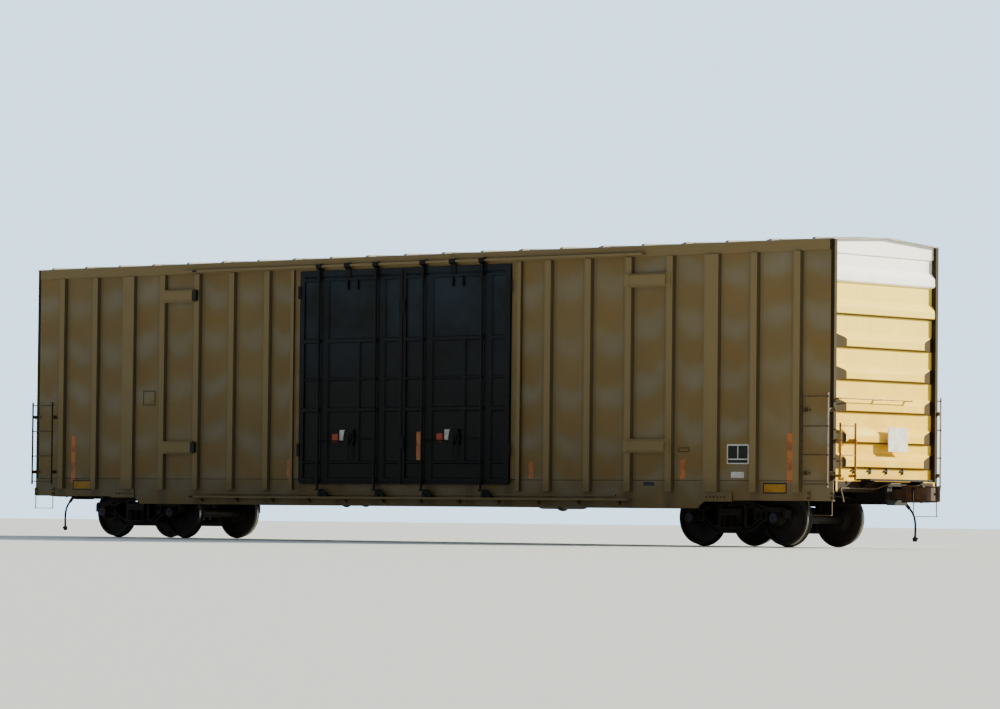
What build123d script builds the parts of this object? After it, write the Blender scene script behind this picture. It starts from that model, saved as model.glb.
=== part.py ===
# Railroad boxcar with two plug doors on each side and two swivelling trucks.
# Millimetres. X runs along the car, the near side is -Y, and Z is up.
# Heights below are measured from the top of the rail. The finished pieces are
# raised by the depth of the wheel flanges, so the car stands on a floor at Z = 0.
import os
from math import cos, radians, sin
from build123d import *

os.makedirs("parts", exist_ok=True)

# Driving sizes of the body
flange_depth = 25.4
body_half_length = 9414.0
inside_half_length = 9258.0
inside_half_width = 1448.0
sheet_face = 1476.0
post_face = 1540.0
hardware_face = 1620.0
floor_top = 1085.0
floor_bottom = 1035.0
sheet_bottom = 1075.0
sheet_top = 4865.0
eave = 5050.0
ridge = 5135.0
sill_bottom = 745.0
deep_sill_bottom = 610.0
deep_sill_half_length = 6600.0

# Driving sizes of the doors
door_half_opening = 2500.0
door_bottom = 990.0
door_top = 4826.0
door_post_width = 230.0

# Driving sizes of the running gear
truck_center = 7048.5
wheelbase = 1778.0
wheel_radius = 457.2
wheel_back = 678.0
wheel_front = 822.0
journal_center = 1003.0
center_plate_height = 648.0
center_plate_radius = 203.0
side_bearing = 635.0

# Driving sizes of the couplers
coupler_height = 876.0
coupler_pivot = 8950.0
coupler_pin_radius = 40.0
draft_sill_end = 9610.0
pulling_face = 10400.0
knuckle_pin = (10215.0, -120.0)

# Side posts: distance of each centre from the middle of the car, and its width
side_posts = [(3340 + 892 * i, 290 if i == 4 else 130) for i in range(7)]


def block(x, y, z):
    """Box from three (low, high) pairs."""
    size = [abs(high - low) for low, high in (x, y, z)]
    middle = [(high + low) / 2 for low, high in (x, y, z)]
    return Pos(*middle) * Box(*size)


def side_block(side, x, y, z):
    """Box whose two Y values are distances from the middle on one side."""
    return block(x, (side * y[0], side * y[1]), z)


def along_x(points, x0, x1):
    """Solid with an outline of (y, z) points, from x0 to x1."""
    face = make_face(Polyline([(x0, y, z) for y, z in points], close=True))
    return extrude(face, amount=x1 - x0, dir=(1, 0, 0))


def along_y(points, y0, y1):
    """Solid with an outline of (x, z) points, from y0 to y1."""
    face = make_face(Polyline([(x, y0, z) for x, z in points], close=True))
    return extrude(face, amount=y1 - y0, dir=(0, 1, 0))


def along_z(points, z0, z1):
    """Solid with an outline of (x, y) points, from z0 to z1."""
    face = make_face(Polyline([(x, y, z0) for x, y in points], close=True))
    return extrude(face, amount=z1 - z0, dir=(0, 0, 1))


def rounded(points, to_3d):
    """Face from (a, b, corner radius) points, placed in space by to_3d(a, b)."""
    corners = [to_3d(a, b) for a, b, _ in points]
    return make_face(FilletPolyline(*corners, radius=[r for _, _, r in points], close=True))


def plate_along_y(points, y0, y1):
    """Solid with a rounded outline of (x, z, corner radius) points, from y0 to y1."""
    return extrude(rounded(points, lambda x, z: (x, y0, z)), amount=y1 - y0, dir=(0, 1, 0))


def plate_along_z(points, z0, z1):
    """Solid with a rounded outline of (x, y, corner radius) points, from z0 to z1."""
    return extrude(rounded(points, lambda x, y: (x, y, z0)), amount=z1 - z0, dir=(0, 0, 1))


def plate_along_x(points, x0, x1):
    """Solid with a rounded outline of (y, z, corner radius) points, from x0 to x1."""
    return extrude(rounded(points, lambda y, z: (x0, y, z)), amount=x1 - x0, dir=(1, 0, 0))


def mirror_points(half):
    """Whole outline from the half at a >= 0 of (a, b, radius) points, which starts and ends at a = 0."""
    return half + [(-a, b, r) for a, b, r in reversed(half[1:-1])]


def rod(start, end, radius):
    """Round bar between two points."""
    a = Vector(*start)
    direction = Vector(*end) - a
    plane = Plane(origin=a, z_dir=direction)
    return extrude(plane * Circle(radius), amount=direction.length)


def turned(shape):
    """The same piece at the other end, turned half way round."""
    return Rot(0, 0, 180) * shape


def join(shapes):
    """One solid from pieces that touch or overlap."""
    first, *rest = shapes
    return first.fuse(*rest).clean() if rest else first


def save(name, *shapes):
    """Write a node at its place above the floor."""
    raised = [Pos(0, 0, flange_depth) * shape for shape in shapes]
    solids = [solid for shape in raised for solid in shape.solids()]
    export_step(solids[0] if len(solids) == 1 else Compound(solids), f"parts/{name}.step")


# Centre sill: an open-bottomed channel of two webs. Beyond the trucks a draft sill of the
# same section carries the coupler's pin and ends in the striker casting.
sill_web_outer = 178.0
sill_web_inner = 165.0
sill_flange = 240.0
center_sill_bottom = 700.0
draft_sill_start = 7600.0


def sill_channel(x0, x1):
    section = [
        (-sill_flange, center_sill_bottom), (-sill_web_inner, center_sill_bottom),
        (-sill_web_inner, floor_bottom - 14), (sill_web_inner, floor_bottom - 14),
        (sill_web_inner, center_sill_bottom), (sill_flange, center_sill_bottom),
        (sill_flange, center_sill_bottom + 16), (sill_web_outer, center_sill_bottom + 16),
        (sill_web_outer, floor_bottom), (-sill_web_outer, floor_bottom),
        (-sill_web_outer, center_sill_bottom + 16), (-sill_flange, center_sill_bottom + 16),
    ]
    return along_x(section, x0, x1)


def draft_sill():
    """Sill beyond the truck at the +X end, with the coupler's pin and the striker."""
    pin = rod((coupler_pivot, 0, 789), (coupler_pivot, 0, floor_bottom - 14), coupler_pin_radius)
    plate = plate_along_x([(-250, 688, 20), (250, 688, 20), (300, 770, 50), (300, 990, 50), (220, 1050, 40),
                           (-220, 1050, 40), (-300, 990, 50), (-300, 770, 50)], draft_sill_end, 9655)
    opening = block((draft_sill_end - 5, 9660), (-sill_web_inner, sill_web_inner), (775, 1000))
    return join([sill_channel(draft_sill_start, draft_sill_end), pin, plate - opening])


# Body bolsters and crossbearers
bearer_top = 975.0
side_beam_end = 1464.0


def tapered_beam(x, half_width, web, root_bottom, tip_bottom, side):
    """Beam from the centre sill out to the side sill, deeper at its root."""
    start = sill_web_outer
    slope = [(start, root_bottom), (side_beam_end, tip_bottom),
             (side_beam_end, bearer_top), (start, bearer_top)]
    plate = along_x([(side * y, z) for y, z in slope], x - web, x + web)
    lower = [(start, root_bottom), (side_beam_end, tip_bottom),
             (side_beam_end, tip_bottom + 14), (start, root_bottom + 14)]
    upper = [(start, bearer_top - 14), (side_beam_end, bearer_top - 14),
             (side_beam_end, bearer_top), (start, bearer_top)]
    covers = [along_x([(side * y, z) for y, z in rim], x - half_width, x + half_width)
              for rim in (lower, upper)]
    return join([plate] + covers)


train_line_y = 262.0
train_line_z = 850.0


def center_plate(x):
    """Round plate under the centre sill that turns in the truck's bowl."""
    cover = block((x - 260, x + 260), (-330, 330), (center_sill_bottom - 14, center_sill_bottom))
    plate = rod((x, 0, center_plate_height), (x, 0, center_sill_bottom - 14), center_plate_radius)
    return join([cover, plate])


def body_bolster(x):
    """Beam over a truck, with the pads that rest near its side bearings."""
    wings = []
    for side in (-1, 1):
        wing = tapered_beam(x, 190, 60, center_sill_bottom + 17, 850, side)
        pad = side_block(side, (x - 110, x + 110), (side_bearing - 90, side_bearing + 90), (752, 820))
        pipe = Pos(x, side * train_line_y, train_line_z) * Rot(0, 90, 0) * Cylinder(34, 500)
        wings.append(join([wing, pad]) - pipe)
    return wings


crossbearers = (850.0, 2610.0, 4232.0, 8850.0)


def crossbearer(x):
    """Floor beam between the trucks, or one at the end of the car."""
    bottom = 740 if x < truck_center else 800
    beams = [tapered_beam(x, 75, 5, bottom, 880, side) for side in (-1, 1)]
    hole = Pos(x, 0, train_line_z) * Rot(0, 90, 0) * Cylinder(34, 400)
    return [beam - Pos(0, side * train_line_y, 0) * hole for beam, side in zip(beams, (-1, 1))]


# Floor on its stringers
stringers = (460.0, 1060.0)


def floor():
    deck = block((-inside_half_length, inside_half_length),
                 (-inside_half_width, inside_half_width), (floor_bottom, floor_top))
    bars = [side_block(side, (-inside_half_length, inside_half_length), (y - 30, y + 30),
                       (bearer_top, floor_bottom)) for side in (-1, 1) for y in stringers]
    return join([deck] + bars)


# Side sills: a deep plate with flanges, deeper between the trucks
sill_plate = 12.0
pad_holes = [6740 + 75 * i for i in range(7)]


def side_sill(side):
    step = deep_sill_half_length
    outline = [(-body_half_length, sheet_bottom), (-body_half_length, sill_bottom),
               (-step - 160, sill_bottom), (-step, deep_sill_bottom), (step, deep_sill_bottom),
               (step + 160, sill_bottom), (body_half_length, sill_bottom),
               (body_half_length, sheet_bottom)]
    web = along_y(outline, side * (sheet_face - sill_plate), side * sheet_face)
    lips = [side_block(side, (-step + 20, step - 20), (1405, sheet_face),
                       (deep_sill_bottom, deep_sill_bottom + 12))]
    for end in (-1, 1):
        lips.append(side_block(side, (end * (step + 200), end * (body_half_length - 10)),
                               (1405, sheet_face), (sill_bottom, sill_bottom + 12)))
        pad = side_block(side, (end * 6730, end * 7350), (sheet_face, sheet_face + 26), (725, 880))
        for x in pad_holes:
            pad -= Pos(end * x, side * sheet_face, 800) * Rot(90, 0, 0) * Cylinder(17, 120)
        lips.append(pad)
    shelf = side_block(side, (-9200, 9200), (1405, sheet_face), (floor_bottom - 12, floor_bottom))
    return join([web, shelf] + lips)


# Side walls: the sheet of one end of one side, with its pressed posts
def side_wall(side, end):
    sheet = side_block(side, (end * (door_half_opening + door_post_width), end * 9340),
                       (inside_half_width, sheet_face), (sheet_bottom, sheet_top))
    posts = []
    for x, width in side_posts:
        depth = post_face - sheet_face
        half = width / 2
        hat = [(x - half - 22, sheet_face), (x - half, sheet_face + depth),
               (x + half, sheet_face + depth), (x + half + 22, sheet_face)]
        post = along_z([(end * px, side * py) for px, py in hat], 886, sheet_top - 4)
        posts.append(post)
    return join([sheet] + posts)


# Door frames: the posts beside the opening, the lintel and the threshold
def door_frame(side):
    outer = door_half_opening + door_post_width
    pieces = []
    for end in (-1, 1):
        pieces.append(side_block(side, (end * door_half_opening, end * outer),
                                 (inside_half_width, sheet_face + 20), (floor_top, sheet_top)))
        pieces.append(side_block(side, (end * (outer - 70), end * outer),
                                 (sheet_face, post_face), (886, sheet_top - 4)))
    pieces.append(side_block(side, (-outer, outer), (inside_half_width, sheet_face + 20),
                             (door_top + 8, sheet_top)))
    return join(pieces)


# Plug doors, drawn on the near side. The far side's are the same, turned half way round.
# Distances across a leaf run from its left edge as seen from outside, and heights from the rail.
door_gap = 6.0
leaf_width = door_half_opening - 2 * door_gap
door_inner = 1452.0
leaf_back = 1497.0
leaf_front = 1521.0
rib_front = 1546.0
frame_band = 110.0
# Full rails across a leaf, as (low, high), and the lighter ones between them
door_rails = [(4726, 4800), (4642, 4690), (3530, 3590), (2290, 2350), (1040, 1096)]
thin_rails = [(2856, 2884), (1366, 1394)]
# Upright hat sections, as (left, right, low, high)
door_hats = [(530, 700, 1096, 4642), (1906, 2070, 1096, 4642), (1400, 1468, 1394, 3530)]
gear_place = 1250.0
pipe_places = (500.0, 1876.0)
pipe_radius = 22.0
pipe_y = 1576.0
leaf_edges = {"a": door_gap, "b": -door_half_opening + door_gap}  # X of each leaf's left edge


def hat_upright(left, right, low, high):
    """Upright hat section on the leaf's face."""
    return along_z([(left - 14, -leaf_front), (left, -rib_front),
                    (right, -rib_front), (right + 14, -leaf_front)], low, high)


def hat_rail(left, right, low, high):
    """Level hat section on the leaf's face."""
    return along_x([(-leaf_front, low - 12), (-rib_front, low),
                    (-rib_front, high), (-leaf_front, high + 12)], left, right)


def plug_door(leaf):
    """Leaf with its insulated plug behind, its edge frame, rails and hat sections."""
    edge = leaf_edges[leaf]
    left, right = edge, edge + leaf_width
    bend = {"a": (0, 70), "b": (70, 0)}[leaf]  # the outer lower corner is rounded
    silhouette = [(left, door_bottom, bend[0]), (right, door_bottom, bend[1]),
                  (right, door_top, 0), (left, door_top, 0)]
    sheet = plate_along_y(silhouette, -leaf_back, -leaf_front)
    plug = block((left + 4, right - 4), (-leaf_back, -door_inner), (sheet_bottom + 16, door_top - 4))
    outer_band, inner_band = (frame_band, 46) if leaf == "b" else (46, frame_band)
    inside = [(left + outer_band, door_bottom + 44, 20), (right - inner_band, door_bottom + 44, 20),
              (right - inner_band, door_top - 30, 0), (left + outer_band, door_top - 30, 0)]
    band = plate_along_y(silhouette, -leaf_front, -rib_front)
    band -= plate_along_y(inside, -leaf_front + 1, -rib_front - 1)
    ribs = [hat_rail(left + outer_band - 4, right - inner_band + 4, low, high)
            for low, high in door_rails + thin_rails]
    ribs += [hat_upright(edge + a, edge + b, low, high) for a, b, low, high in door_hats]
    return join([sheet, plug, band] + ribs)


# Operating gear on each leaf: two turning pipes with cranks and trolleys, hangers and the gear case
keeper_heights = (4664, 3560, 2320, 1068)
trolley_roller = 44.0
track_shelf_top = 740.0


def pipe_keeper(x, z):
    """Bearing that holds a pipe to a rail."""
    return plate_along_z([(x - 58, -rib_front, 0), (x + 58, -rib_front, 0), (x + 58, -rib_front - 12, 3),
                          (x + 32, -rib_front - 16, 4), (x + 30, -pipe_y - 30, 26), (x - 30, -pipe_y - 30, 26),
                          (x - 32, -rib_front - 16, 4), (x - 58, -rib_front - 12, 3)], z - 26, z + 26)


def trolley(x):
    """Crank on a pipe's foot and the carriage whose rollers run on the lower track."""
    arm = plate_along_z([(x - 44, -pipe_y - 32, 30), (x + 120, -pipe_y - 30, 24), (x + 150, -pipe_y + 4, 12),
                         (x + 120, -pipe_y + 28, 12), (x - 44, -pipe_y + 32, 30)], 872, 904)
    plate = plate_along_y([(x + 40, 904, 12), (x + 150, 904, 30), (x + 262, 812, 24), (x + 262, 764, 10),
                           (x + 20, 764, 10), (x + 20, 830, 24)], -1562, -1582)
    center = track_shelf_top + trolley_roller
    rollers = [rod((x + a, -1544, center), (x + a, -1596, center), trolley_roller) for a in (74, 206)]
    return [arm, plate] + rollers


def hanger(x):
    """Hook from the leaf's top rail round the upper track."""
    return plate_along_x([(-rib_front, 4700, 0), (-1562, 4700, 4), (-1562, 4846, 14), (-1618, 4876, 14),
                          (-1618, 4954, 12), (-1540, 4954, 4), (-1540, 4938, 4), (-1603, 4938, 4),
                          (-1603, 4888, 10), (-rib_front, 4858, 8)], x - 62, x + 62)


def gear_case(x):
    """Gear case with its hub, the hand lever and the two links to the pipes."""
    box = plate_along_y([(x - 100, 1690, 24), (x + 100, 1690, 24), (x + 130, 1800, 40), (x + 100, 1960, 40),
                         (x - 100, 1960, 40), (x - 130, 1800, 40)], -leaf_front, -1578)
    cover = rod((x, -1578, 1826), (x, -1594, 1826), 84)
    hub = rod((x, -1594, 1826), (x, -1612, 1826), 34)
    lever = plate_along_y([(x - 22, 1860, 20), (x + 26, 1860, 20), (x + 20, 1420, 14), (x - 12, 1420, 14)],
                          -1600, -1612)
    links = [rod((x + a, -1562, 1760 + 40 * (a > 0)), (x + b, -1562, 1760 + 40 * (a > 0)), 12)
             for a, b in ((-130, pipe_places[0] - gear_place), (130, pipe_places[1] - gear_place))]
    return [box, cover, hub, lever] + links


def door_gear(leaf):
    edge = leaf_edges[leaf]
    pieces = gear_case(edge + gear_place)
    for place in pipe_places:
        x = edge + place
        pieces.append(rod((x, -pipe_y, 872), (x, -pipe_y, 4846), pipe_radius))
        pieces += [pipe_keeper(x, z) for z in keeper_heights]
        pieces += trolley(x)
    pieces += [hanger(edge + place) for place in (*pipe_places, (pipe_places[0] + pipe_places[1]) / 2)]
    return join(pieces)


# Door tracks: the lower ledge and the upper rail of one side
lower_track_half = 5200.0
upper_track_half = 5460.0


def door_tracks():
    """Near side: the ledge under the doors on its gussets, the guide strip and the upper rail."""
    ledge = plate_along_x([(-sheet_face, 728, 0), (-hardware_face, 728, 4), (-hardware_face, 764, 3),
                           (-hardware_face + 10, 764, 3), (-hardware_face + 10, track_shelf_top, 6),
                           (-sheet_face, track_shelf_top, 0)], -lower_track_half, lower_track_half)
    gussets = [along_x([(-sheet_face, 728), (-hardware_face + 20, 728), (-sheet_face, 640)], x - 5, x + 5)
               for x in range(-4950, 4951, 900)]
    strip = block((-4850, 4850), (-sheet_face - 26, -sheet_face), (800, 832))
    upper = plate_along_x([(-1500, 4880, 0), (-1508, 4880, 0), (-1508, 4905, 6), (-1588, 4905, 0),
                           (-1588, 4892, 0), (-1600, 4892, 0), (-1600, 4930, 6), (-1500, 4930, 0)],
                          -upper_track_half, upper_track_half)
    return [join([ledge] + gussets), strip, upper]


# Door stops: a bracket and rubber block on the posts, high and low
def door_stop(side, end, low):
    box = side_block(side, (end * 5190, end * 5960), (post_face, 1598), (low + 30, low + 205))
    flange = side_block(side, (end * 5160, end * 6040), (post_face, 1556), (low, low + 235))
    rubber = side_block(side, (end * 5085, end * 5189), (post_face + 2, 1602), (low + 20, low + 215))
    return join([flange, box, rubber])


# Top chords and roof
def top_chord(side):
    return side_block(side, (-9330, 9330), (1380, 1500), (sheet_top, eave - 12))


roof_half_width = 1506.0
roof_half_length = 9420.0
roof_seams = [-9000 + 900 * i for i in range(21)]


def roof_bead(start, end):
    """Low pressed bead on the roof, from one (x, y) point to another."""
    fall = (ridge - eave - 4) / roof_half_width
    low, high = [Vector(x, y, ridge - fall * abs(y) - 6) for x, y in (start, end)]
    across = (high - low).cross(Vector(0, 0, 1)).normalized() * 55
    top = Vector(0, 0, 22)
    section = Polyline(low - across, low - across * 0.4 + top, low + across * 0.4 + top, low + across,
                       close=True)
    return extrude(make_face(section), amount=(high - low).length, dir=(high - low).normalized())


def roof():
    """Peaked roof: panels with diagonal beads, and a cap over each seam."""
    half = roof_half_width
    section = [(-half, eave - 12), (-half, eave + 4), (0, ridge), (half, eave + 4),
               (half, eave - 12), (1379, eave - 12), (0, ridge - 24), (-1379, eave - 12)]
    pieces = [along_x(section, -roof_half_length, roof_half_length)]
    cap = [(-half, eave + 4), (-half + 30, eave + 34), (0, ridge + 26), (half - 30, eave + 34),
           (half, eave + 4), (0, ridge - 4)]
    pieces += [along_x(cap, x - 32, x + 32) for x in roof_seams]
    for number, x in enumerate(roof_seams[:-1]):
        for side in (-1, 1):
            run = (120, 780) if (number + (side > 0)) % 2 else (780, 120)
            pieces.append(roof_bead((x + run[0], side * 1380), (x + run[1], side * 90)))
    return join(pieces)


# Ends: a steel sheet pressed into wide horizontal ribs, between corner posts
# Each rib: height of its lower edge, and where its full depth ends
end_ribs = [(1290, 1100), (1700, 1100), (2210, 1100), (2735, 1100), (3270, 1100),
            (3810, 1436), (4350, 1436)]
end_sheet = 9330.0
rib_depth = 70.0
rib_height = 262.0
rib_end = 1440.0


def end_wall():
    gable = [(-inside_half_width, floor_top), (inside_half_width, floor_top),
             (inside_half_width, sheet_top), (1379, sheet_top), (1379, eave - 12), (0, ridge - 24),
             (-1379, eave - 12), (-1379, sheet_top), (-inside_half_width, sheet_top)]
    lining = along_x(gable, inside_half_length, end_sheet)
    cap = along_x([(-1405, sheet_top - 40), (1405, sheet_top - 40), (1405, eave - 12), (1379, eave - 12),
                   (0, ridge - 24), (-1379, eave - 12), (-1405, eave - 12)], end_sheet, end_sheet + 30)
    posts = [side_block(side, (9341, body_half_length), (1404, sheet_face), (sheet_bottom, eave - 12))
             for side in (-1, 1)]
    ribs = []
    for low, full in end_ribs:
        shape = plate_along_y([(end_sheet - 2, low, 0), (end_sheet + rib_depth, low + 20, 26),
                               (end_sheet + rib_depth, low + 160, 90), (end_sheet - 2, low + rib_height, 0)],
                              -rib_end, rib_end)
        plan = along_z([(end_sheet - 2, -rib_end), (end_sheet + rib_depth, -full),
                        (end_sheet + rib_depth, full), (end_sheet - 2, rib_end)], low - 5, low + 300)
        ribs.append(shape & plan)
    sill = block((end_sheet - 40, body_half_length), (-1404, 1404), (900, floor_top))
    notch = block((end_sheet - 50, body_half_length + 5), (-sill_web_outer, sill_web_outer), (890, floor_bottom))
    return join([lining, cap, sill - notch] + posts + ribs)


# Ladders on the sides, and the short ladders and handholds on the ends
rung_heights = (1020, 1500, 1970, 2460)
ladder_inner = 8860.0
ladder_outer = 9392.0
ladder_y = 1600.0


def side_ladder():
    """Four rungs on flat stiles, at the near side's right corner."""
    stile = block((ladder_inner - 4, ladder_inner + 4), (-ladder_y - 16, -ladder_y + 24), (960, 2520))
    outer = block((ladder_outer - 4, ladder_outer + 4), (-ladder_y - 16, -ladder_y + 24), (960, 2520))
    rungs = [rod((ladder_inner, -ladder_y, z), (ladder_outer, -ladder_y, z), 10)
             for z in rung_heights]
    feet = [block((x - 20, x + 20), (-ladder_y + 20, -sheet_face), (z - 30, z + 30))
            for x in (ladder_inner + 12, ladder_outer - 16) for z in (1200, 2240)]
    return join([stile, outer] + rungs + feet)


def end_ladder():
    """Two rungs between stiles, at the end's near corner."""
    stiles = [block((9490, 9530), (y - 4, y + 4), (1090, 2030)) for y in (-1420, -1000)]
    rungs = [rod((9510, -1420, z), (9510, -1000, z), 10) for z in (1500, 1980)]
    feet = [block((end_sheet + rib_depth - 8, 9494), (y - 16, y + 16), (z - 24, z + 24))
            for y in (-1408, -1012) for z in (1160, 1745)]
    return join(stiles + rungs + feet) - end_wall()


def end_handhold():
    bar = rod((9500, -1450, 2430), (9500, 620, 2430), 10)
    feet = [block((9300, 9504), (y - 9, y + 9), (2418, 2442)) for y in (-1400, -300, 590)]
    return join([bar] + feet) - end_wall()


# Sill steps, crossover platforms and placard boards
def sill_step():
    """Stirrup below the near side's right corner."""
    legs = [block((x - 6, x + 6), (-sheet_face - 14, -sheet_face), (505, 900)) for x in (8930, 9400)]
    tread = block((8924, 9406), (-sheet_face - 50, -sheet_face), (505, 517))
    return join(legs + [tread])


def crossover_platform():
    """Grated step over the coupler, on two brackets."""
    deck = block((body_half_length, 9735), (-880, 880), (1088, 1120))
    slots = [Pos(x, y, 1080) * Rectangle(118, 54) for x in (9500, 9648) for y in range(-825, 826, 75)]
    deck -= extrude(Sketch() + slots, amount=50, dir=(0, 0, 1))
    brackets = [along_y([(body_half_length, 1088), (9700, 1088), (body_half_length, 960)],
                        y - 6, y + 6) for y in (-700, 700)]
    return join([deck] + brackets)


def placard_board():
    board = block((9490, 9504), (-60, 490), (1580, 1980))
    feet = [block((end_sheet + 20, 9492), (y - 20, y + 20), (z - 20, z + 20))
            for y in (20, 410) for z in (1780,)]
    return join([board] + feet) - end_wall()


# Hand brake at the -X end, on the far side
brake_y = 620.0
brake_height = 1700.0
brake_wheel_x = -9640.0


def hand_brake_housing():
    """Gear case with a round boss, the wheel's shaft and the rod down to the brake rigging."""
    case = plate_along_x([(brake_y - 150, 1500, 60), (brake_y + 150, 1500, 60), (brake_y + 178, 1700, 60),
                          (brake_y + 120, 1920, 90), (brake_y - 120, 1920, 90), (brake_y - 178, 1700, 60)],
                         -9540, -9392)
    boss = rod((-9540, brake_y, brake_height), (-9572, brake_y, brake_height), 96)
    shaft = rod((-9572, brake_y, brake_height), (-9672, brake_y, brake_height), 18)
    clevis = block((-9520, -9480), (brake_y - 30, brake_y + 30), (1440, 1510))
    chain = rod((-9500, brake_y, 1120), (-9500, brake_y, 1450), 14)
    return join([case, boss, shaft, clevis, chain]) - turned(end_wall())


def hand_brake_wheel():
    """Rim on five dished spokes, free on its shaft."""
    rim = Torus(265, 13)
    hub = Cylinder(44, 40) - Cylinder(19.5, 60)
    spokes = []
    for i in range(5):
        arm = plate_along_y([(36, -12, 4), (120, 2, 30), (262, -6, 4), (262, 6, 4), (120, 16, 30), (36, 8, 4)],
                            -17, 17)
        spokes.append(Rot(0, 0, 72 * i) * arm)
    return Pos(brake_wheel_x, brake_y, brake_height) * Rot(0, 90, 0) * join([rim, hub] + spokes)


# Air brake gear on the underframe
def turned_along_x(profile, y, z):
    """Solid of revolution about a line along X, from (x, radius) points."""
    face = make_face(Polyline([(x, y, z + r) for x, r in profile], close=True))
    return revolve(face, Axis((0, y, z), (1, 0, 0)), 360)


def air_reservoir():
    """Two-part tank with domed heads and a flange where its halves are bolted."""
    y, z = 900, 770
    head = [(1120, 0), (1128, 90), (1160, 150), (1210, 184), (1250, 190), (1680, 190), (1680, 226)]
    tank = turned_along_x(head + [(3400 - x, r) for x, r in reversed(head)], y, z)
    hangers = [block((x - 22, x + 22), (y - 110, y + 110), (850, floor_bottom)) for x in (1350, 2050)]
    return join([tank] + hangers)


def brake_cylinder():
    """Cylinder with its bolted heads, push rod and the live lever."""
    y, z = -900, 760
    body = turned_along_x([(-1960, 0), (-1960, 120), (-1930, 150), (-1905, 150), (-1905, 184), (-1880, 184),
                           (-1880, 146), (-1430, 146), (-1430, 176), (-1404, 176), (-1404, 90), (-1370, 44),
                           (-1370, 30), (-1140, 30), (-1140, 0)], y, z)
    lever = plate_along_z([(-1165, y - 210, 20), (-1125, y - 210, 20), (-1110, y + 260, 20),
                           (-1165, y + 260, 20)], z - 10, z + 10)
    hanger = block((-1800, -1500), (y - 110, y + 110), (860, floor_bottom))
    return join([body, lever, hanger])


def control_valve():
    """Pipe bracket with the service and emergency portions bolted to its ends."""
    y, z = 900, 800
    bracket = block((-1720, -1480), (y - 110, y + 110), (700, floor_bottom))
    portions = [turned_along_x([(-1600, 0), (-1600, 120), (-1600 + s * 150, 120), (-1600 + s * 150, 98),
                                (-1600 + s * 250, 92), (-1600 + s * 280, 60), (-1600 + s * 280, 0)], y, z)
                for s in (-1, 1)]
    return join([bracket] + portions)


def train_line():
    """Brake pipe along the sill, which crosses under it at the middle of the car."""
    route = [(9450, train_line_y, train_line_z), (450, train_line_y, train_line_z),
             (250, train_line_y, 655), (-250, -train_line_y, 655), (-450, -train_line_y, train_line_z),
             (-9450, -train_line_y, train_line_z)]
    pipe = sweep(Plane(origin=route[0], z_dir=(-1, 0, 0)) * Circle(21), FilletPolyline(*route, radius=90))
    return join([pipe, angle_cock(), turned(angle_cock())])


# Trucks. Each is drawn about its own centre, then moved along the car.
axle_height = wheel_radius
half_wheelbase = wheelbase / 2
frame_inner = 925.0
frame_outer = 1085.0
spring_seat = 300.0
spring_radius = 62.0
spring_places = [(x, y) for x in (-150, 0, 150) for y in (940, 1070)]
bolster_end_bottom = 482.0


# Half outline of the cast side frame as (x from its middle, z, corner radius)
frame_half = [(0, 752, 0), (250, 748, 60), (560, 690, 140), (760, 640, 90), (1085, 632, 30), (1118, 590, 20),
              (1118, 452, 14), (1052, 452, 14), (1042, 595, 16), (736, 595, 16), (728, 408, 24),
              (640, 396, 60), (440, 246, 70), (330, 198, 60), (0, 198, 0)]
window_half = [(0, 662, 0), (232, 662, 30), (240, 520, 12), (240, 300, 18), (0, 300, 0)]
frame_light = [(306, 620, 26), (306, 340, 40), (372, 318, 40), (590, 470, 34), (604, 560, 30), (420, 640, 40)]
frame_pockets = [mirror_points([(0, 728, 0), (246, 724, 50), (555, 666, 100), (730, 624, 8), (626, 596, 20),
                                (432, 664, 30), (302, 648, 20), (262, 686, 20), (0, 686, 0)]),
                 mirror_points([(0, 222, 0), (322, 222, 40), (426, 265, 40), (622, 412, 10), (600, 440, 10),
                                (386, 298, 40), (290, 276, 30), (0, 276, 0)]),
                 [(630, 572, 10), (711, 572, 10), (704, 432, 8), (648, 426, 8), (616, 462, 8)],
                 [(-616, 462, 8), (-648, 426, 8), (-704, 432, 8), (-711, 572, 10), (-630, 572, 10)]]
frame_pocket_depth = 48.0


def side_frame(side):
    """Cast frame with pedestals over the bearings and a window for the bolster, pocketed into flanges."""
    outer, inner = side * frame_outer, side * frame_inner
    casting = plate_along_y(mirror_points(frame_half), outer, inner)
    casting -= plate_along_y(mirror_points(window_half), outer + side, inner - side)
    for end in (-1, 1):
        casting -= plate_along_y([(end * x, z, r) for x, z, r in frame_light], outer + side, inner - side)
    for pocket in frame_pockets:
        casting -= plate_along_y(pocket, outer + side, outer - side * frame_pocket_depth)
    seat = plate_along_z([(-230, side * 868, 20), (230, side * 868, 20),
                          (230, side * 1142, 20), (-230, side * 1142, 20)], spring_seat - 30, spring_seat)
    return join([casting, seat])


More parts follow.
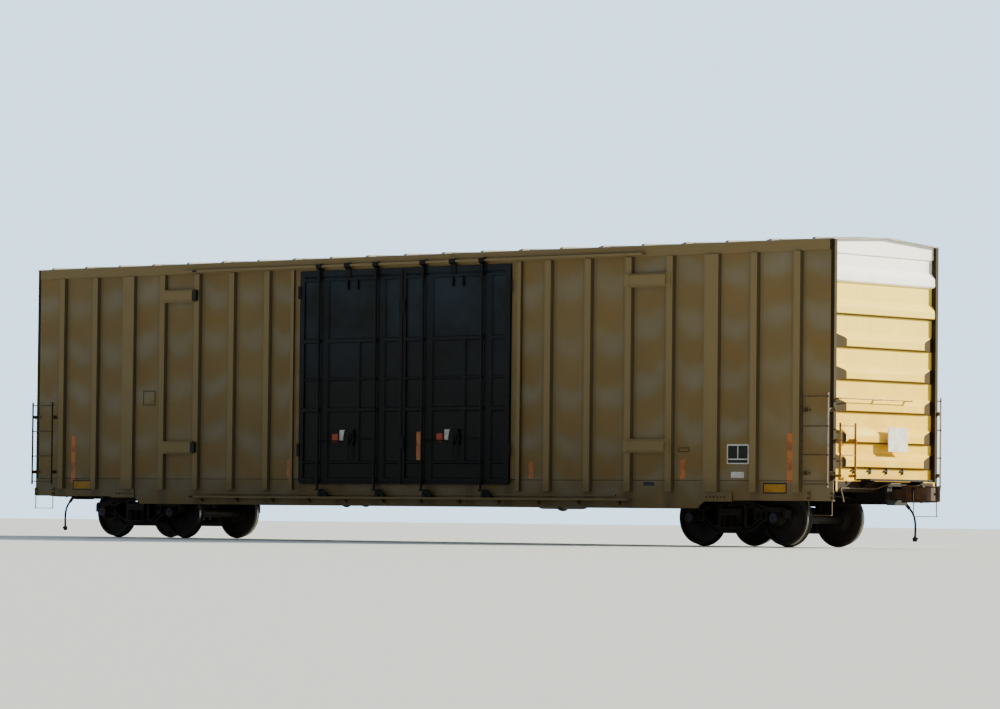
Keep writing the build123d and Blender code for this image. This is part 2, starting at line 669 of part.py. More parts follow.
def truck_bolster():
    """Cast beam with recessed sides, the centre bowl and two roller side bearings."""
    beam = plate_along_x(mirror_points([(0, 420, 0), (420, 420, 90), (700, bolster_end_bottom, 90),
                                        (1130, bolster_end_bottom, 14), (1130, 618, 14), (860, 655, 60),
                                        (0, 655, 0)]), -210, 210)
    for side in (-1, 1):
        for x in (-205, 205):
            beam -= plate_along_x([(side * 330, 462, 20), (side * 700, 512, 30), (side * 700, 600, 30),
                                   (side * 330, 600, 30)], x - 30, x + 30)
    rim = rod((0, 0, 612), (0, 0, 672), center_plate_radius + 59)
    well = rod((0, 0, center_plate_height - 1), (0, 0, center_plate_height + 59), center_plate_radius + 9)
    bearings = []
    for side in (-1, 1):
        cage = side_block(side, (-170, 170), (side_bearing - 62, side_bearing + 62), (640, 712))
        pocket = side_block(side, (-140, 140), (side_bearing - 40, side_bearing + 40), (690, 760))
        rubs = [rod((x, side * side_bearing, 652), (x, side * side_bearing, 744), 38) for x in (-88, 88)]
        bearings += [cage - pocket] + rubs
    return join([beam, rim] + bearings) - well


def springs(side):
    return [rod((x, side * y, spring_seat), (x, side * y, bolster_end_bottom), spring_radius)
            for x, y in spring_places]


def bearing(side, end):
    """Outer race of an axle bearing, with its adapter under the pedestal."""
    place = Pos(end * half_wheelbase, side * journal_center, axle_height)
    ring = [(80, -95), (106, -95), (106, -84), (122, -78), (122, -20), (118, -14), (118, 14),
            (122, 20), (122, 78), (106, 84), (106, 95), (80, 95)]
    face = make_face(Polyline([(0, y, r) for r, y in ring], close=True))
    race = place * revolve(face, Axis((0, 0, 0), (0, 1, 0)), 360)
    x = end * half_wheelbase
    adapter = side_block(side, (x - 130, x + 130), (frame_inner - 10, frame_outer + 10), (560, 595))
    neck = side_block(side, (x - 100, x + 100), (frame_inner + 5, frame_outer - 5), (540, 562))
    return join([adapter, neck - place * Rot(90, 0, 0) * Cylinder(100, 200), race])


def brake_beam(end):
    """Truss beam across the truck, with a fulcrum strut and a shoe against each wheel."""
    shoe_radius = wheel_radius + 7
    x = end * 318
    chord = block((x - 38, x + 38), (-790, 790), (372, 384))
    web = block((x - 5, x + 5), (-790, 790), (384, 430))
    strut = plate_along_z([(x, -40, 4), (x, 40, 4), (end * 236, 26, 10), (end * 236, -26, 10)], 368, 400)
    braces = [rod((x, side * 742, 392), (end * 250, side * 12, 392), 16) for side in (-1, 1)]
    lugs = [side_block(side, (x - 24, x + 24), (780, frame_inner), (366, 392)) for side in (-1, 1)]
    pieces = [chord, web, strut] + braces + lugs
    for side in (-1, 1):
        head = plate_along_y([(end * 292, 300, 20), (end * 292, 500, 30), (end * 420, 560, 10),
                              (end * 500, 560, 4), (end * 500, 260, 4), (end * 400, 250, 20)],
                             side * 712, side * 800)
        cut = Pos(end * half_wheelbase, side * 760, axle_height) * Rot(90, 0, 0) * Cylinder(shoe_radius, 140)
        pieces.append(head - cut)
    return join(pieces)


# Wheels and axles
def wheel(side):
    """Revolved wheel: rim, flange, dished plate and hub."""
    profile = [
        (98, 670, 0), (146, 670, 8), (150, 706, 18), (220, 728, 60), (330, 706, 80), (408, 700, 14),
        (414, wheel_back, 8), (wheel_radius + 10, wheel_back, 10),
        (wheel_radius + flange_depth, wheel_back + 10, 9),
        (wheel_radius + flange_depth, wheel_back + 24, 9), (wheel_radius + 3, wheel_back + 34, 12),
        (wheel_radius - 2, wheel_front - 6, 5), (wheel_radius - 9, wheel_front, 4), (404, wheel_front, 8),
        (398, 738, 18), (330, 736, 80), (220, 760, 60), (156, 786, 24), (148, 852, 8), (98, 852, 0),
    ]
    face = rounded([(side * y, r, bend) for r, y, bend in profile], lambda y, r: (0, y, r))
    return revolve(face, Axis((0, 0, 0), (0, 1, 0)), 360)


def axle():
    """Axle with its wheel seats, journals and bearing caps."""
    profile = [(0, -1135), (60, -1135), (92, -1128), (92, -1101), (77, -1101), (77, -900),
               (98, -880), (98, -668), (84, -600), (80, 0), (84, 600), (98, 668), (98, 880),
               (77, 900), (77, 1101), (92, 1101), (92, 1128), (60, 1135), (0, 1135)]
    face = make_face(Polyline([(0, y, r) for r, y in profile], close=True))
    return revolve(face, Axis((0, 0, 0), (0, 1, 0)), 360)


# Couplers, drawn at the +X end
# Plan of the cast head as (x, y, corner radius), and of the knuckle that turns in it
head_plan = [(9770, -66, 30), (9880, -96, 60), (9985, -160, 70), (10080, -196, 40), (10222, -196, 30),
             (10272, -150, 26), (10262, -96, 22), (10176, -50, 26), (10128, 4, 40), (10152, 96, 40),
             (10238, 156, 50), (10322, 196, 26), (10352, 236, 14), (10296, 268, 24), (10188, 256, 50),
             (10046, 214, 70), (9950, 160, 60), (9860, 100, 50), (9770, 66, 30)]
knuckle_plan = [(10076, -104, 10), (10164, -80, 20), (10248, -74, 30), (10290, -48, 30), (10306, 4, 30),
                (10318, 44, 18), (10352, 58, 18), (10386, 38, 20), (pulling_face, -20, 30), (10394, -96, 40),
                (10346, -162, 44), (10262, -186, 40), (10168, -178, 30), (10076, -144, 10)]
knuckle_pin_radius = 20.0


def coupler_body():
    """Shank with its pin hole, and the cast head with a guard arm and an open knuckle pocket."""
    middle = coupler_height
    shank = plate_along_x([(-63, middle - 80, 14), (63, middle - 80, 14), (63, middle + 80, 14),
                           (-63, middle + 80, 14)], coupler_pivot - 75, 9800)
    shank -= Pos(coupler_pivot, 0, middle) * Cylinder(coupler_pin_radius + 3, 200)
    horn = plate_along_z([(9800, -96, 12), (9856, -110, 12), (9856, 110, 12), (9800, 96, 12)],
                         middle + 84, middle + 142)
    head = plate_along_z(head_plan, middle - 142, middle + 142)
    front = pulling_face + 20
    crown = plate_along_y([(9760, middle - 150, 10), (9990, middle - 150, 60), (front, middle - 118, 10),
                           (front, middle + 118, 10), (9990, middle + 150, 60), (9870, middle + 150, 50),
                           (9760, middle + 96, 10)], -300, 300)
    cavity = block((10060, front), (-260, 60), (middle - 114, middle + 114))
    pin = Pos(*knuckle_pin, middle) * Cylinder(knuckle_pin_radius, 300)
    pin_head = Pos(*knuckle_pin, middle + 146) * Cylinder(32, 22)
    return join([shank, horn, (head & crown) - cavity, pin, pin_head])


def knuckle():
    """Hooked jaw on its pin, with the slot for a link in its nose."""
    middle = coupler_height
    shape = plate_along_z(knuckle_plan, middle - 108, middle + 108)
    slot = block((10300, 10420), (-30, 70), (middle - 20, middle + 20))
    bore = Pos(*knuckle_pin, middle) * Cylinder(knuckle_pin_radius + 1, 400)
    return shape - slot - bore


# Uncoupling levers: a rod across the end with a handle at the corner, on two brackets
lever_route = [(9575, -1400, 735), (9490, -1370, 960), (9490, -380, 960), (9735, -340, 1040),
               (9755, -70, 1045)]


def uncoupling_lever():
    path = FilletPolyline(*lever_route, radius=40)
    start = Plane(origin=lever_route[0], z_dir=Vector(*lever_route[1]) - Vector(*lever_route[0]))
    bar = sweep(start * Circle(11), path)
    brackets = [block((body_half_length, 9504), (y - 8, y + 8), (942, 978)) for y in (-1250, -430)]
    return join([bar] + brackets)


# Air hoses: route of the one at the +X end, as (x, y, z)
hose_radius = 19.0
hose_y = 330.0
hose_route = [(9660, 330, 640), (9708, 330, 592), (9745, 331, 533), (9768, 332, 467),
              (9778, 334, 398), (9780, 336, 328), (9778, 338, 258), (9772, 340, 190)]


def air_hose():
    points = [Vector(*p) for p in hose_route]
    radii = []
    for before, here, after in zip(points, points[1:], points[2:]):
        turn = radians((here - before).get_angle(after - here))
        radii.append(0.45 * min((here - before).length, (after - here).length) / sin(turn / 2) * cos(turn / 2))
    print("hose bend radii", [round(r) for r in radii])
    path = FilletPolyline(*hose_route, radius=radii)
    start = Plane(origin=points[0], z_dir=points[1] - points[0])
    return sweep(start * Circle(hose_radius), path)


def angle_cock():
    """Elbow at the end of the brake pipe, where the hose screws on."""
    joint = (9570, hose_y, 730)
    stub = rod((9440, train_line_y, train_line_z), joint, 26)
    valve = Pos(*joint) * Sphere(38)
    elbow = rod(joint, hose_route[0], 29)
    hanger = block((9420, 9460), (sill_web_outer, 305), (805, 895))
    return join([stub, valve, elbow, hanger])


def glad_hand():
    """Hose coupling: a nipple and a hooked head with a round face."""
    tip = Vector(*hose_route[-1])
    down = (tip - Vector(*hose_route[-2])).normalized()
    middle = tip + down * 60
    nipple = rod(tuple(tip), tuple(tip + down * 40), 22)
    face = Pos(*middle) * Rot(90, 0, 0) * Cylinder(42, 34)
    hook = Pos(middle.X + 34, middle.Y, middle.Z + 14) * Box(50, 26, 34)
    return join([nipple, face, hook])


def write_all():
    ends = (-1, 1)
    sides = (("near", -1), ("far", 1))
    save("center_sill", sill_channel(-draft_sill_start, draft_sill_start))
    save("draft_sills", draft_sill(), turned(draft_sill()))
    bolsters = []
    for x in (-truck_center, truck_center):
        bolsters.append(center_plate(x))
        bolsters += body_bolster(x)
    save("body_bolsters", *bolsters)
    bearers = []
    for x in crossbearers:
        for end in ends:
            bearers += crossbearer(end * x)
    save("crossbearers", *bearers)
    save("floor", floor())
    for name, side in sides:
        save(f"side_sill_{name}", side_sill(side))
        save(f"side_walls_{name}", side_wall(side, 1), side_wall(side, -1))
        save(f"door_frame_{name}", door_frame(side))
    save("door_tracks", *door_tracks(), *[turned(piece) for piece in door_tracks()])
    leaves = {leaf: plug_door(leaf) for leaf in "ab"}
    gears = [door_gear(leaf) for leaf in "ab"]
    for leaf, opposite in ("ab", "ba"):
        save(f"plug_door_near_{leaf}", leaves[leaf])
        save(f"plug_door_far_{leaf}", turned(leaves[opposite]))
    save("door_gear_near", *gears)
    save("door_gear_far", *[turned(gear) for gear in gears])
    save("door_stops", *[door_stop(side, end, low) for _, side in sides for end in ends
                         for low in (1540, 4345)])
    save("top_chords", top_chord(-1), top_chord(1))
    save("roof", roof())
    save("end_wall_a", end_wall())
    save("end_wall_b", turned(end_wall()))
    mirrored = [side_ladder(), side_ladder().mirror(Plane.YZ)]
    save("side_ladders", *mirrored, *[turned(piece) for piece in mirrored])
    ladders = [end_ladder(), end_handhold()]
    save("end_ladders", *ladders, *[turned(piece) for piece in ladders])
    steps = [sill_step(), sill_step().mirror(Plane.YZ)]
    save("sill_steps", *steps, *[turned(piece) for piece in steps])
    save("crossover_platforms", crossover_platform(), turned(crossover_platform()))
    save("placard_boards", placard_board(), turned(placard_board()))
    save("hand_brake_housing", hand_brake_housing())
    save("hand_brake_wheel", hand_brake_wheel())
    save("air_brake_gear", air_reservoir(), brake_cylinder(), control_valve())
    save("train_line", train_line())
    for name, x in (("a", truck_center), ("b", -truck_center)):
        place = Pos(x, 0, 0)
        save(f"truck_bolster_{name}", place * truck_bolster())
        save(f"side_frames_{name}", place * side_frame(-1), place * side_frame(1))
        save(f"springs_{name}", *[place * s for side in ends for s in springs(side)])
        save(f"bearings_{name}", *[place * bearing(side, end) for side in ends for end in ends])
        save(f"brake_beams_{name}", place * brake_beam(-1), place * brake_beam(1))
    for number, (truck, end) in enumerate(((1, 1), (1, -1), (-1, 1), (-1, -1)), start=1):
        place = Pos(truck * truck_center + end * half_wheelbase, 0, axle_height)
        save(f"wheels_{number}", place * wheel(-1), place * wheel(1))
        save(f"axle_{number}", place * axle())
    for name, move in (("a", lambda shape: shape), ("b", turned)):
        save(f"coupler_{name}", move(coupler_body()))
        save(f"knuckle_{name}", move(knuckle()))
        save(f"air_hose_{name}", move(air_hose()))
        save(f"glad_hand_{name}", move(glad_hand()))
    save("uncoupling_levers", uncoupling_lever(), turned(uncoupling_lever()))


write_all()
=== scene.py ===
import math
from functools import partial
import bmesh
import bpy
import numpy as np
from mathutils import Matrix, Vector


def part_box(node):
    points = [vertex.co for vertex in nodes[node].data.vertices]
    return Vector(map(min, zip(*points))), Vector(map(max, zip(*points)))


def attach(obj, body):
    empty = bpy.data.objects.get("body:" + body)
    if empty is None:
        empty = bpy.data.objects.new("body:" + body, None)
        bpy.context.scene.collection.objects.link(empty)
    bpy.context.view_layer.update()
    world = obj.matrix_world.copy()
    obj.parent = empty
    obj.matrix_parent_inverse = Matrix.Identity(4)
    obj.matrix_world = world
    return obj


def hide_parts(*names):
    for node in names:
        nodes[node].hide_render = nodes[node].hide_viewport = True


# A long freight car with outside posts, in metres. X runs along the car, the near side is -Y.
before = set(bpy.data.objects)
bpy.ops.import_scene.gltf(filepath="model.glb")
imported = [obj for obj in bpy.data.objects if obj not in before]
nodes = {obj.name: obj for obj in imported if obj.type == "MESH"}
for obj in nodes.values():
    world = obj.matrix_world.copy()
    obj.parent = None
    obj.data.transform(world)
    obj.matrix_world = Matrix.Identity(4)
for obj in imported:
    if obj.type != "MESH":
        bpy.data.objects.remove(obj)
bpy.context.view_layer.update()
railTop = 0.0254  # the wheels' treads, above the flange tips that stand on the floor
sheetFace, postFace = 1.476, 1.540  # half widths over the side sheets and over their posts
doorSheet, doorRib = 1.521, 1.541  # half widths over the doors' sheets and over their ribs
hair = 0.001  # keeps a test of place off the face itself

# What the photograph fixes: where the camera stood and how far it was zoomed in
photoCamera = {
    "place": (52.521, -60.212, 0.4344),
    "yaw": 40.577,  # from +Y towards -X
    "pitch": 2.109,
    "roll": 0.600,
    "focalPixels": 4445.1,
    "frameWidth": 1000,
    "sensorWidth": 36.0,
    "clip": (1.0, 500.0),
}


def setCamera(c):
    yaw, pitch, roll = (math.radians(c[k]) for k in ("yaw", "pitch", "roll"))
    forward = Vector((-math.sin(yaw) * math.cos(pitch), math.cos(yaw) * math.cos(pitch), math.sin(pitch)))
    level = Vector((math.cos(yaw), math.sin(yaw), 0.0))
    above = level.cross(forward)
    right = level * math.cos(roll) + above * math.sin(roll)
    up = above * math.cos(roll) - level * math.sin(roll)
    data = bpy.data.cameras.new("photoCamera")
    data.sensor_width = c["sensorWidth"]
    data.lens = c["focalPixels"] * c["sensorWidth"] / c["frameWidth"]
    data.clip_start, data.clip_end = c["clip"]
    camera = bpy.data.objects.new("photoCamera", data)
    bpy.context.scene.collection.objects.link(camera)
    turn = Matrix((right, up, -forward)).transposed().to_4x4()
    camera.matrix_world = Matrix.Translation(c["place"]) @ turn
    bpy.context.scene.camera = camera


setCamera(photoCamera)
print("camera set")


def hexColor(code):
    # sRGB hex to linear: c/12.92 below 0.04045, else ((c + 0.055) / 1.055) ** 2.4
    parts = [int(code[i:i + 2], 16) / 255 for i in (1, 3, 5)]
    linear = [p / 12.92 if p <= 0.04045 else ((p + 0.055) / 1.055) ** 2.4 for p in parts]
    return (*linear, 1.0)


def feed(node, feeds):
    # an input takes a number, a vector, a hex colour, an output, or another node by its first live output
    for key, value in feeds.items():
        if isinstance(value, bpy.types.Node):
            value = next(output for output in value.outputs if output.enabled)
        if isinstance(value, bpy.types.NodeSocket):
            node.id_data.links.new(value, node.inputs[key])
        else:
            node.inputs[key].default_value = hexColor(value) if isinstance(value, str) else value


def addNode(tree, kind, feeds, **settings):
    # one node, its settings first and then what its inputs take
    node = tree.nodes.new(f"ShaderNode{kind}")
    for key, value in settings.items():
        setattr(node, key, value)
    feed(node, feeds)
    return node


def startMaterial(name, shader):
    # a surface with these shader values, and the coordinates that its patterns read
    material = bpy.data.materials.new(name)
    material.use_nodes = True
    material.node_tree.nodes.clear()
    add = partial(addNode, material.node_tree)
    surface = add("BsdfPrincipled", shader)
    add("OutputMaterial", {"Surface": surface})
    return material, add, surface, add("TexCoord", {}).outputs


def patches(add, place, p):
    # noise in patches about size metres across, longer along an axis with a small stretch value. With start
    # and full it is a mask, from least where the noise is under start to most where it is over full.
    scale = [part / p["size"] for part in p.get("stretch", (1, 1, 1))]
    mapped = add("Mapping", {"Vector": place, "Scale": scale})
    made = add("TexNoise", {"Vector": mapped, "Scale": 1.0, "Detail": p.get("detail", 3.0),
                            "Roughness": p.get("rough", 0.5)})
    if "start" not in p:
        return made
    return add("MapRange", {"Value": made, "From Min": p["start"], "From Max": p["full"],
                            "To Min": p.get("least", 0.0), "To Max": p.get("most", 1.0)})


def within(add, source, low, high):
    # 1 between low and high, 0 outside
    above = add("Math", {0: source, 1: low}, operation="GREATER_THAN")
    below = add("Math", {0: source, 1: high}, operation="LESS_THAN")
    return add("Math", {0: above, 1: below}, operation="MULTIPLY")


def coats(add, color, layers):
    # colours laid over one another: a layer is a colour and the masks, multiplied, that it shows through
    for over, mask, *others in layers:
        for other in others:
            mask = add("Math", {0: mask, 1: other}, operation="MULTIPLY")
        color = add("Mix", {0: mask, 6: color, 7: over}, data_type="RGBA")
    return color


# In the looks below, sizes and heights are in metres. A rise is a straight line between two values, held
# flat outside them: what it starts and ends at is 0 and 1 where nothing else is said.

# Golden tan alkyd enamel on steel sheet. Between the posts it has chalked in pale ovals with deeper gold
# between them, its posts are cleaner than its sheets, and painted shade darkens the posts' flanks and the
# sheet beside the posts.
sideEnamelLook = {
    "shader": {"Roughness": 0.58, "IOR": 1.5, "Specular IOR Level": 0.35},
    # these tans are the same enamel as the ends, drawn darker as painted shade
    "fresh": "#7e6b44", "gold": "#826430", "pale": "#857d69", "postFace": "#84714a",
    "shadeAndLines": "#2c2010", "low": "#5a4d33", "dust": "#73674c", "rust": "#4a2c17", "rubber": "#0c0c0d",
    "firstPost": 3.34, "postSpacing": 0.892, "rowSpacing": 0.86,
    "bow": 0.16, "wander": 1.5, "waver": 0.35,  # how far the rows bow and shift, in rows
    "wanders": dict(size=2.2, detail=1.0, stretch=(1.4, 1, 0.4)), "wavers": dict(size=0.4),
    "strength": dict(size=1.5, detail=2.0, start=0.3, full=0.6, least=0.35),
    "paleRise": {"To Max": 0.8}, "goldRise": {"From Max": -0.95, "To Max": 0.75},
    "tones": dict(size=1.6, start=0.35, full=0.7, most=0.3),
    # from a panel's middle, in parts of the posts' spacing
    "besidePost": {"From Min": 0.34, "From Max": 0.42, "To Max": 0.35},
    "flangeLine": (0.325, 0.337), "flangeGrime": 0.3,
    "postRise": {"From Min": 1.500, "From Max": 1.530},
    "eaveRise": {"From Min": 4.88, "From Max": 4.91, "To Max": 0.8},
    "sideways": 0.7, "flankShade": 0.7,
    "darkeningRise": {"From Min": 1.16, "From Max": 1.02, "To Max": 0.4},
    "darkeningPatches": dict(size=0.3, detail=4.0, start=0.2, full=0.6, least=0.5),
    "streaks": dict(size=0.05, stretch=(1, 1, 0.04), start=0.55, full=0.8, most=0.35),
    "specks": dict(size=0.05, detail=5.0, rough=0.7, start=0.69, full=0.74, most=0.8),
    "stops": (5.080, 5.1895),
    "dents": dict(size=0.35, detail=2.0), "dentDepth": {"Strength": 0.35, "Distance": 0.010},
}


def sideEnamelMaterial(look):
    material, add, surface, at = startMaterial("sideEnamel", look["shader"])
    place = at["Object"]
    x, y, z = add("SeparateXYZ", {"Vector": place}).outputs
    along, out = (add("Math", {0: axis}, operation="ABSOLUTE") for axis in (x, y))
    # across runs from 0 at one post's middle to 1 at the next one's, and dome is its half sine. The rows
    # are a sine of height, bowed down in the middle of a panel and shifted from one panel to the next.
    past = add("Math", {0: along, 1: look["firstPost"]}, operation="SUBTRACT")
    posts = add("Math", {0: past, 1: look["postSpacing"]}, operation="DIVIDE")
    across = add("Math", {0: posts}, operation="FRACT")
    halfTurn = add("Math", {0: across, 1: math.pi}, operation="MULTIPLY")
    dome = add("Math", {0: halfTurn}, operation="SINE")
    shift = add("Math", {0: dome, 1: look["bow"]}, operation="MULTIPLY")
    for far, pattern in ((look["waver"], look["wavers"]), (look["wander"], look["wanders"])):
        shift = add("Math", {0: patches(add, place, pattern), 1: far, 2: shift}, operation="MULTIPLY_ADD")
    row = add("Math", {0: z, 1: 1 / look["rowSpacing"], 2: shift}, operation="MULTIPLY_ADD")
    turn = add("Math", {0: row, 1: 2 * math.pi}, operation="MULTIPLY")
    wave = add("Math", {0: add("Math", {0: turn}, operation="SINE"), 1: dome}, operation="MULTIPLY")
    ovals = add("Math", {0: wave, 1: patches(add, place, look["strength"])}, operation="MULTIPLY")
    # painted shade along both sides of a post and on its flanks, with a thin dark line where its flange ends
    apart = add("Math", {0: add("Math", {0: across, 1: 0.5}, operation="SUBTRACT")}, operation="ABSOLUTE")
    beside = add("MapRange", {"Value": apart, **look["besidePost"]})
    line = within(add, apart, *look["flangeLine"])
    line = add("Math", {0: line, 1: look["flangeGrime"]}, operation="MULTIPLY")
    edge = add("Math", {0: beside, 1: line}, operation="MAXIMUM")
    onSheet = add("Math", {0: out, 1: sheetFace + 2 * hair}, operation="LESS_THAN")
    raised = add("Math", {0: add("MapRange", {"Value": out, **look["postRise"]}),
                          1: add("MapRange", {"Value": z, **look["eaveRise"]})}, operation="MAXIMUM")
    facing = add("SeparateXYZ", {"Vector": at["Normal"]}).outputs
    sideways = add("Math", {0: facing["X"]}, operation="ABSOLUTE")
    flank = add("Math", {0: sideways, 1: look["sideways"]}, operation="GREATER_THAN")
    # rubber blocks, bare on the stops at the left of each side and painted over at the right
    proud = add("Math", {0: out, 1: postFace + hair / 2}, operation="GREATER_THAN")
    product = add("Math", {0: x, 1: y}, operation="MULTIPLY")
    leftEnd = add("Math", {0: product, 1: 0.0}, operation="GREATER_THAN")
    color = coats(add, look["fresh"], [
        (look["pale"], add("MapRange", {"Value": ovals, **look["paleRise"]})),
        (look["gold"], add("MapRange", {"Value": ovals, **look["goldRise"]})),
        (look["low"], patches(add, place, look["tones"])),
        # painted shade beside the posts, with the dark line at each flange's end
        (look["shadeAndLines"], edge, onSheet),
        (look["postFace"], raised),
        # painted shade on the posts' flanks
        (look["shadeAndLines"], flank, within(add, out, sheetFace + hair, postFace - hair), look["flankShade"]),
        # darker below the sheets, in patches, streaks under the eave, and rust specks
        (look["low"], add("MapRange", {"Value": z, **look["darkeningRise"]}), patches(add, place, look["darkeningPatches"])),
        (look["dust"], patches(add, place, look["streaks"])),
        (look["rust"], patches(add, place, look["specks"])),
        (look["rubber"], within(add, along, *look["stops"]), proud, leftEnd),
    ])
    dents = add("Bump", {"Height": patches(add, place, look["dents"]), **look["dentDepth"]})
    feed(surface, {"Base Color": color, "Normal": dents})
    return material


sideEnamel = sideEnamelMaterial(sideEnamelLook)

# Golden yellow enamel of the ends, the same enamel as the sides but drawn brighter as painted sunlight, with
# the white band of a tall car above. The corner posts are painted dark brown as painted shade, and painted
# shade darkens the ribs' sloped ends near them.
endEnamelLook = {
    "shader": {"Roughness": 0.6, "IOR": 1.5, "Specular IOR Level": 0.15},
    # these yellows are the sides' enamel drawn brighter and more saturated, as painted sunlight
    "fresh": "#f3c41c", "deep": "#e8b216", "chalkAndHighlight": "#fbec7e", "dust": "#b99a36", "rust": "#7a4a26",
    "white": "#fefefa", "soot": "#e2dfd4", "cornerPostShade": "#2e2206", "ribEndShade": "#3a2a02",
    "undersideShade": "#2a1206", "sillShade": "#2c1c0a",
    "bandBottom": 4.35 + railTop, "postFrom": 1.402, "ribEndsFrom": 1.10, "ribSlant": (0.12, 0.5),
    "sillTop": 1.075 + railTop, "sillHalf": 1.36,
    "deeper": dict(size=1.1, start=0.35, full=0.7),
    "chalky": dict(size=0.5, stretch=(1, 0.6, 1.8), start=0.48, full=0.75, most=0.6),
    "chalkAndHighlightRise": {"From Min": 1.6, "From Max": 4.6, "To Max": 0.6},
    "streaks": dict(size=0.05, stretch=(1, 1, 0.05), start=0.52, full=0.78, most=0.25),
    "splashRise": {"From Min": 1.5, "From Max": 0.9, "To Max": 0.75},
    "splashes": dict(size=0.25, detail=4.0, start=0.3, full=0.6),
    "undersideShadeRise": {"From Min": -0.3, "From Max": -0.7, "To Max": 0.95},
    "specks": dict(size=0.06, detail=5.0, rough=0.7, start=0.68, full=0.74, most=0.8),
    "sooty": dict(size=0.4, detail=4.0, stretch=(1, 1, 0.3), start=0.5, full=0.85),
    "dents": dict(size=0.3, detail=2.0), "dentDepth": {"Strength": 0.3, "Distance": 0.008},
}


def endEnamelMaterial(look):
    material, add, surface, at = startMaterial("endEnamel", look["shader"])
    place = at["Object"]
    axes = add("SeparateXYZ", {"Vector": place}).outputs
    height, out = axes["Z"], add("Math", {0: axes["Y"]}, operation="ABSOLUTE")
    # chalk in patches, and chalkier towards the top as a painted highlight
    chalkAndHighlight = add("Math", {0: patches(add, place, look["chalky"]),
                         1: add("MapRange", {"Value": height, **look["chalkAndHighlightRise"]})}, operation="MAXIMUM")
    # a rib's sloped end faces partly sideways, which its other faces don't, and is darkened as painted
    # shade; faces that turn downwards get painted shade too
    facing = add("SeparateXYZ", {"Vector": at["Normal"]}).outputs
    ribEnd = within(add, add("Math", {0: facing["Y"]}, operation="ABSOLUTE"), *look["ribSlant"])
    nearPost = add("Math", {0: out, 1: look["ribEndsFrom"]}, operation="GREATER_THAN")
    underBand = add("Math", {0: height, 1: look["bandBottom"]}, operation="LESS_THAN")
    inBand = add("Math", {0: height, 1: look["bandBottom"]}, operation="GREATER_THAN")
    band = coats(add, look["white"], [(look["soot"], patches(add, place, look["sooty"]))])
    # painted shade on the sill under the sheets, where the crossover platform's shadow falls, but not on its
    # corners
    sill = add("Math", {0: height, 1: look["sillTop"]}, operation="LESS_THAN")
    sillMiddle = add("Math", {0: out, 1: look["sillHalf"]}, operation="LESS_THAN")
    color = coats(add, look["fresh"], [
        (look["deep"], patches(add, place, look["deeper"])),
        (look["chalkAndHighlight"], chalkAndHighlight),
        (look["dust"], patches(add, place, look["streaks"])),
        (look["dust"], add("MapRange", {"Value": height, **look["splashRise"]}),
         patches(add, place, look["splashes"])),
        # painted shade on the ribs' sloped ends near the corner posts
        (look["ribEndShade"], ribEnd, underBand, nearPost),
        # painted shade on faces that turn downwards
        (look["undersideShade"], add("MapRange", {"Value": facing["Z"], **look["undersideShadeRise"]})),
        (look["rust"], patches(add, place, look["specks"])),
        (band, inBand),
        # painted shade: the corner posts dark brown
        (look["cornerPostShade"], within(add, out, look["postFrom"], sheetFace + 2 * hair)),
        # painted shade on the sill
        (look["sillShade"], sill, sillMiddle),
    ])
    dents = add("Bump", {"Height": patches(add, place, look["dents"]), **look["dentDepth"]})
    feed(surface, {"Base Color": color, "Normal": dents})
    return material


endEnamel = endEnamelMaterial(endEnamelLook)

# Black enamel on doors, gear and underframe, each with its base, its dust and its roughness: a thin film of
# dust dulls its sheen in clouds and runs. The doors are a blue black, with a painted blue-grey reflection of
# the sky towards the top that is weaker on their ribs, and they are lighter on their ribs.
blackLook = {
    "shader": {"IOR": 1.5, "Specular IOR Level": 0.2},
    "doorEnamel": ("#050607", "#15181d", 0.4),
    "gearEnamel": ("#050607", "#15171a", 0.45),
    "underframeEnamel": ("#0f0d0a", "#2c251b", 0.6),
    "rougher": 0.25,  # under dust
    "clouds": dict(size=0.6, detail=4.0, start=0.5, full=0.85),
    "runs": dict(size=0.04, stretch=(1, 1, 0.06), start=0.52, full=0.8, most=0.5),
    "dents": dict(size=0.2), "dentDepth": {"Strength": 0.25, "Distance": 0.006},
    # painted reflection of the sky: a blue grey towards the top of the doors, in patches, weaker on the ribs
    "dull": "#243342", "skySheenPatches": dict(size=0.9, start=0.3, full=0.6),
    "skySheenRise": {"From Min": 2.5, "From Max": 4.4, "To Max": 0.75},
    "ribRise": {"From Min": doorRib, "From Max": doorRib + 0.004}, "ribLighter": 0.3, "ribSkySheen": 0.5,
}


def blackEnamel(name, look, weathered=False):
    material, add, surface, at = startMaterial(name, look["shader"])
    place = at["Object"]
    base, dust, roughness = look[name]
    dirt = add("Math", {0: patches(add, place, look["clouds"]), 1: patches(add, place, look["runs"])},
               operation="MAXIMUM")
    dull = []
    if weathered:
        axes = add("SeparateXYZ", {"Vector": place}).outputs
        out = add("Math", {0: axes["Y"]}, operation="ABSOLUTE")
        ribs = add("MapRange", {"Value": out, **look["ribRise"], "To Max": look["ribLighter"]})
        dirt = add("Math", {0: dirt, 1: ribs}, operation="MAXIMUM")
        flat = add("MapRange", {"Value": out, **look["ribRise"], "To Min": 1.0, "To Max": look["ribSkySheen"]})
        # painted reflection of the sky towards the top of the doors
        dull = [(look["dull"], add("MapRange", {"Value": axes["Z"], **look["skySheenRise"]}),
                 patches(add, place, look["skySheenPatches"]), flat)]
    feed(surface, {
        "Base Color": coats(add, base, [(dust, dirt)] + dull),
        "Roughness": add("MapRange", {"Value": dirt, "To Min": roughness,
                                      "To Max": roughness + look["rougher"]}),
        "Normal": add("Bump", {"Height": patches(add, place, look["dents"]), **look["dentDepth"]}),
    })
    return material


doorEnamel = blackEnamel("doorEnamel", blackLook, weathered=True)
gearEnamel = blackEnamel("gearEnamel", blackLook)
underframeEnamel = blackEnamel("underframeEnamel", blackLook)

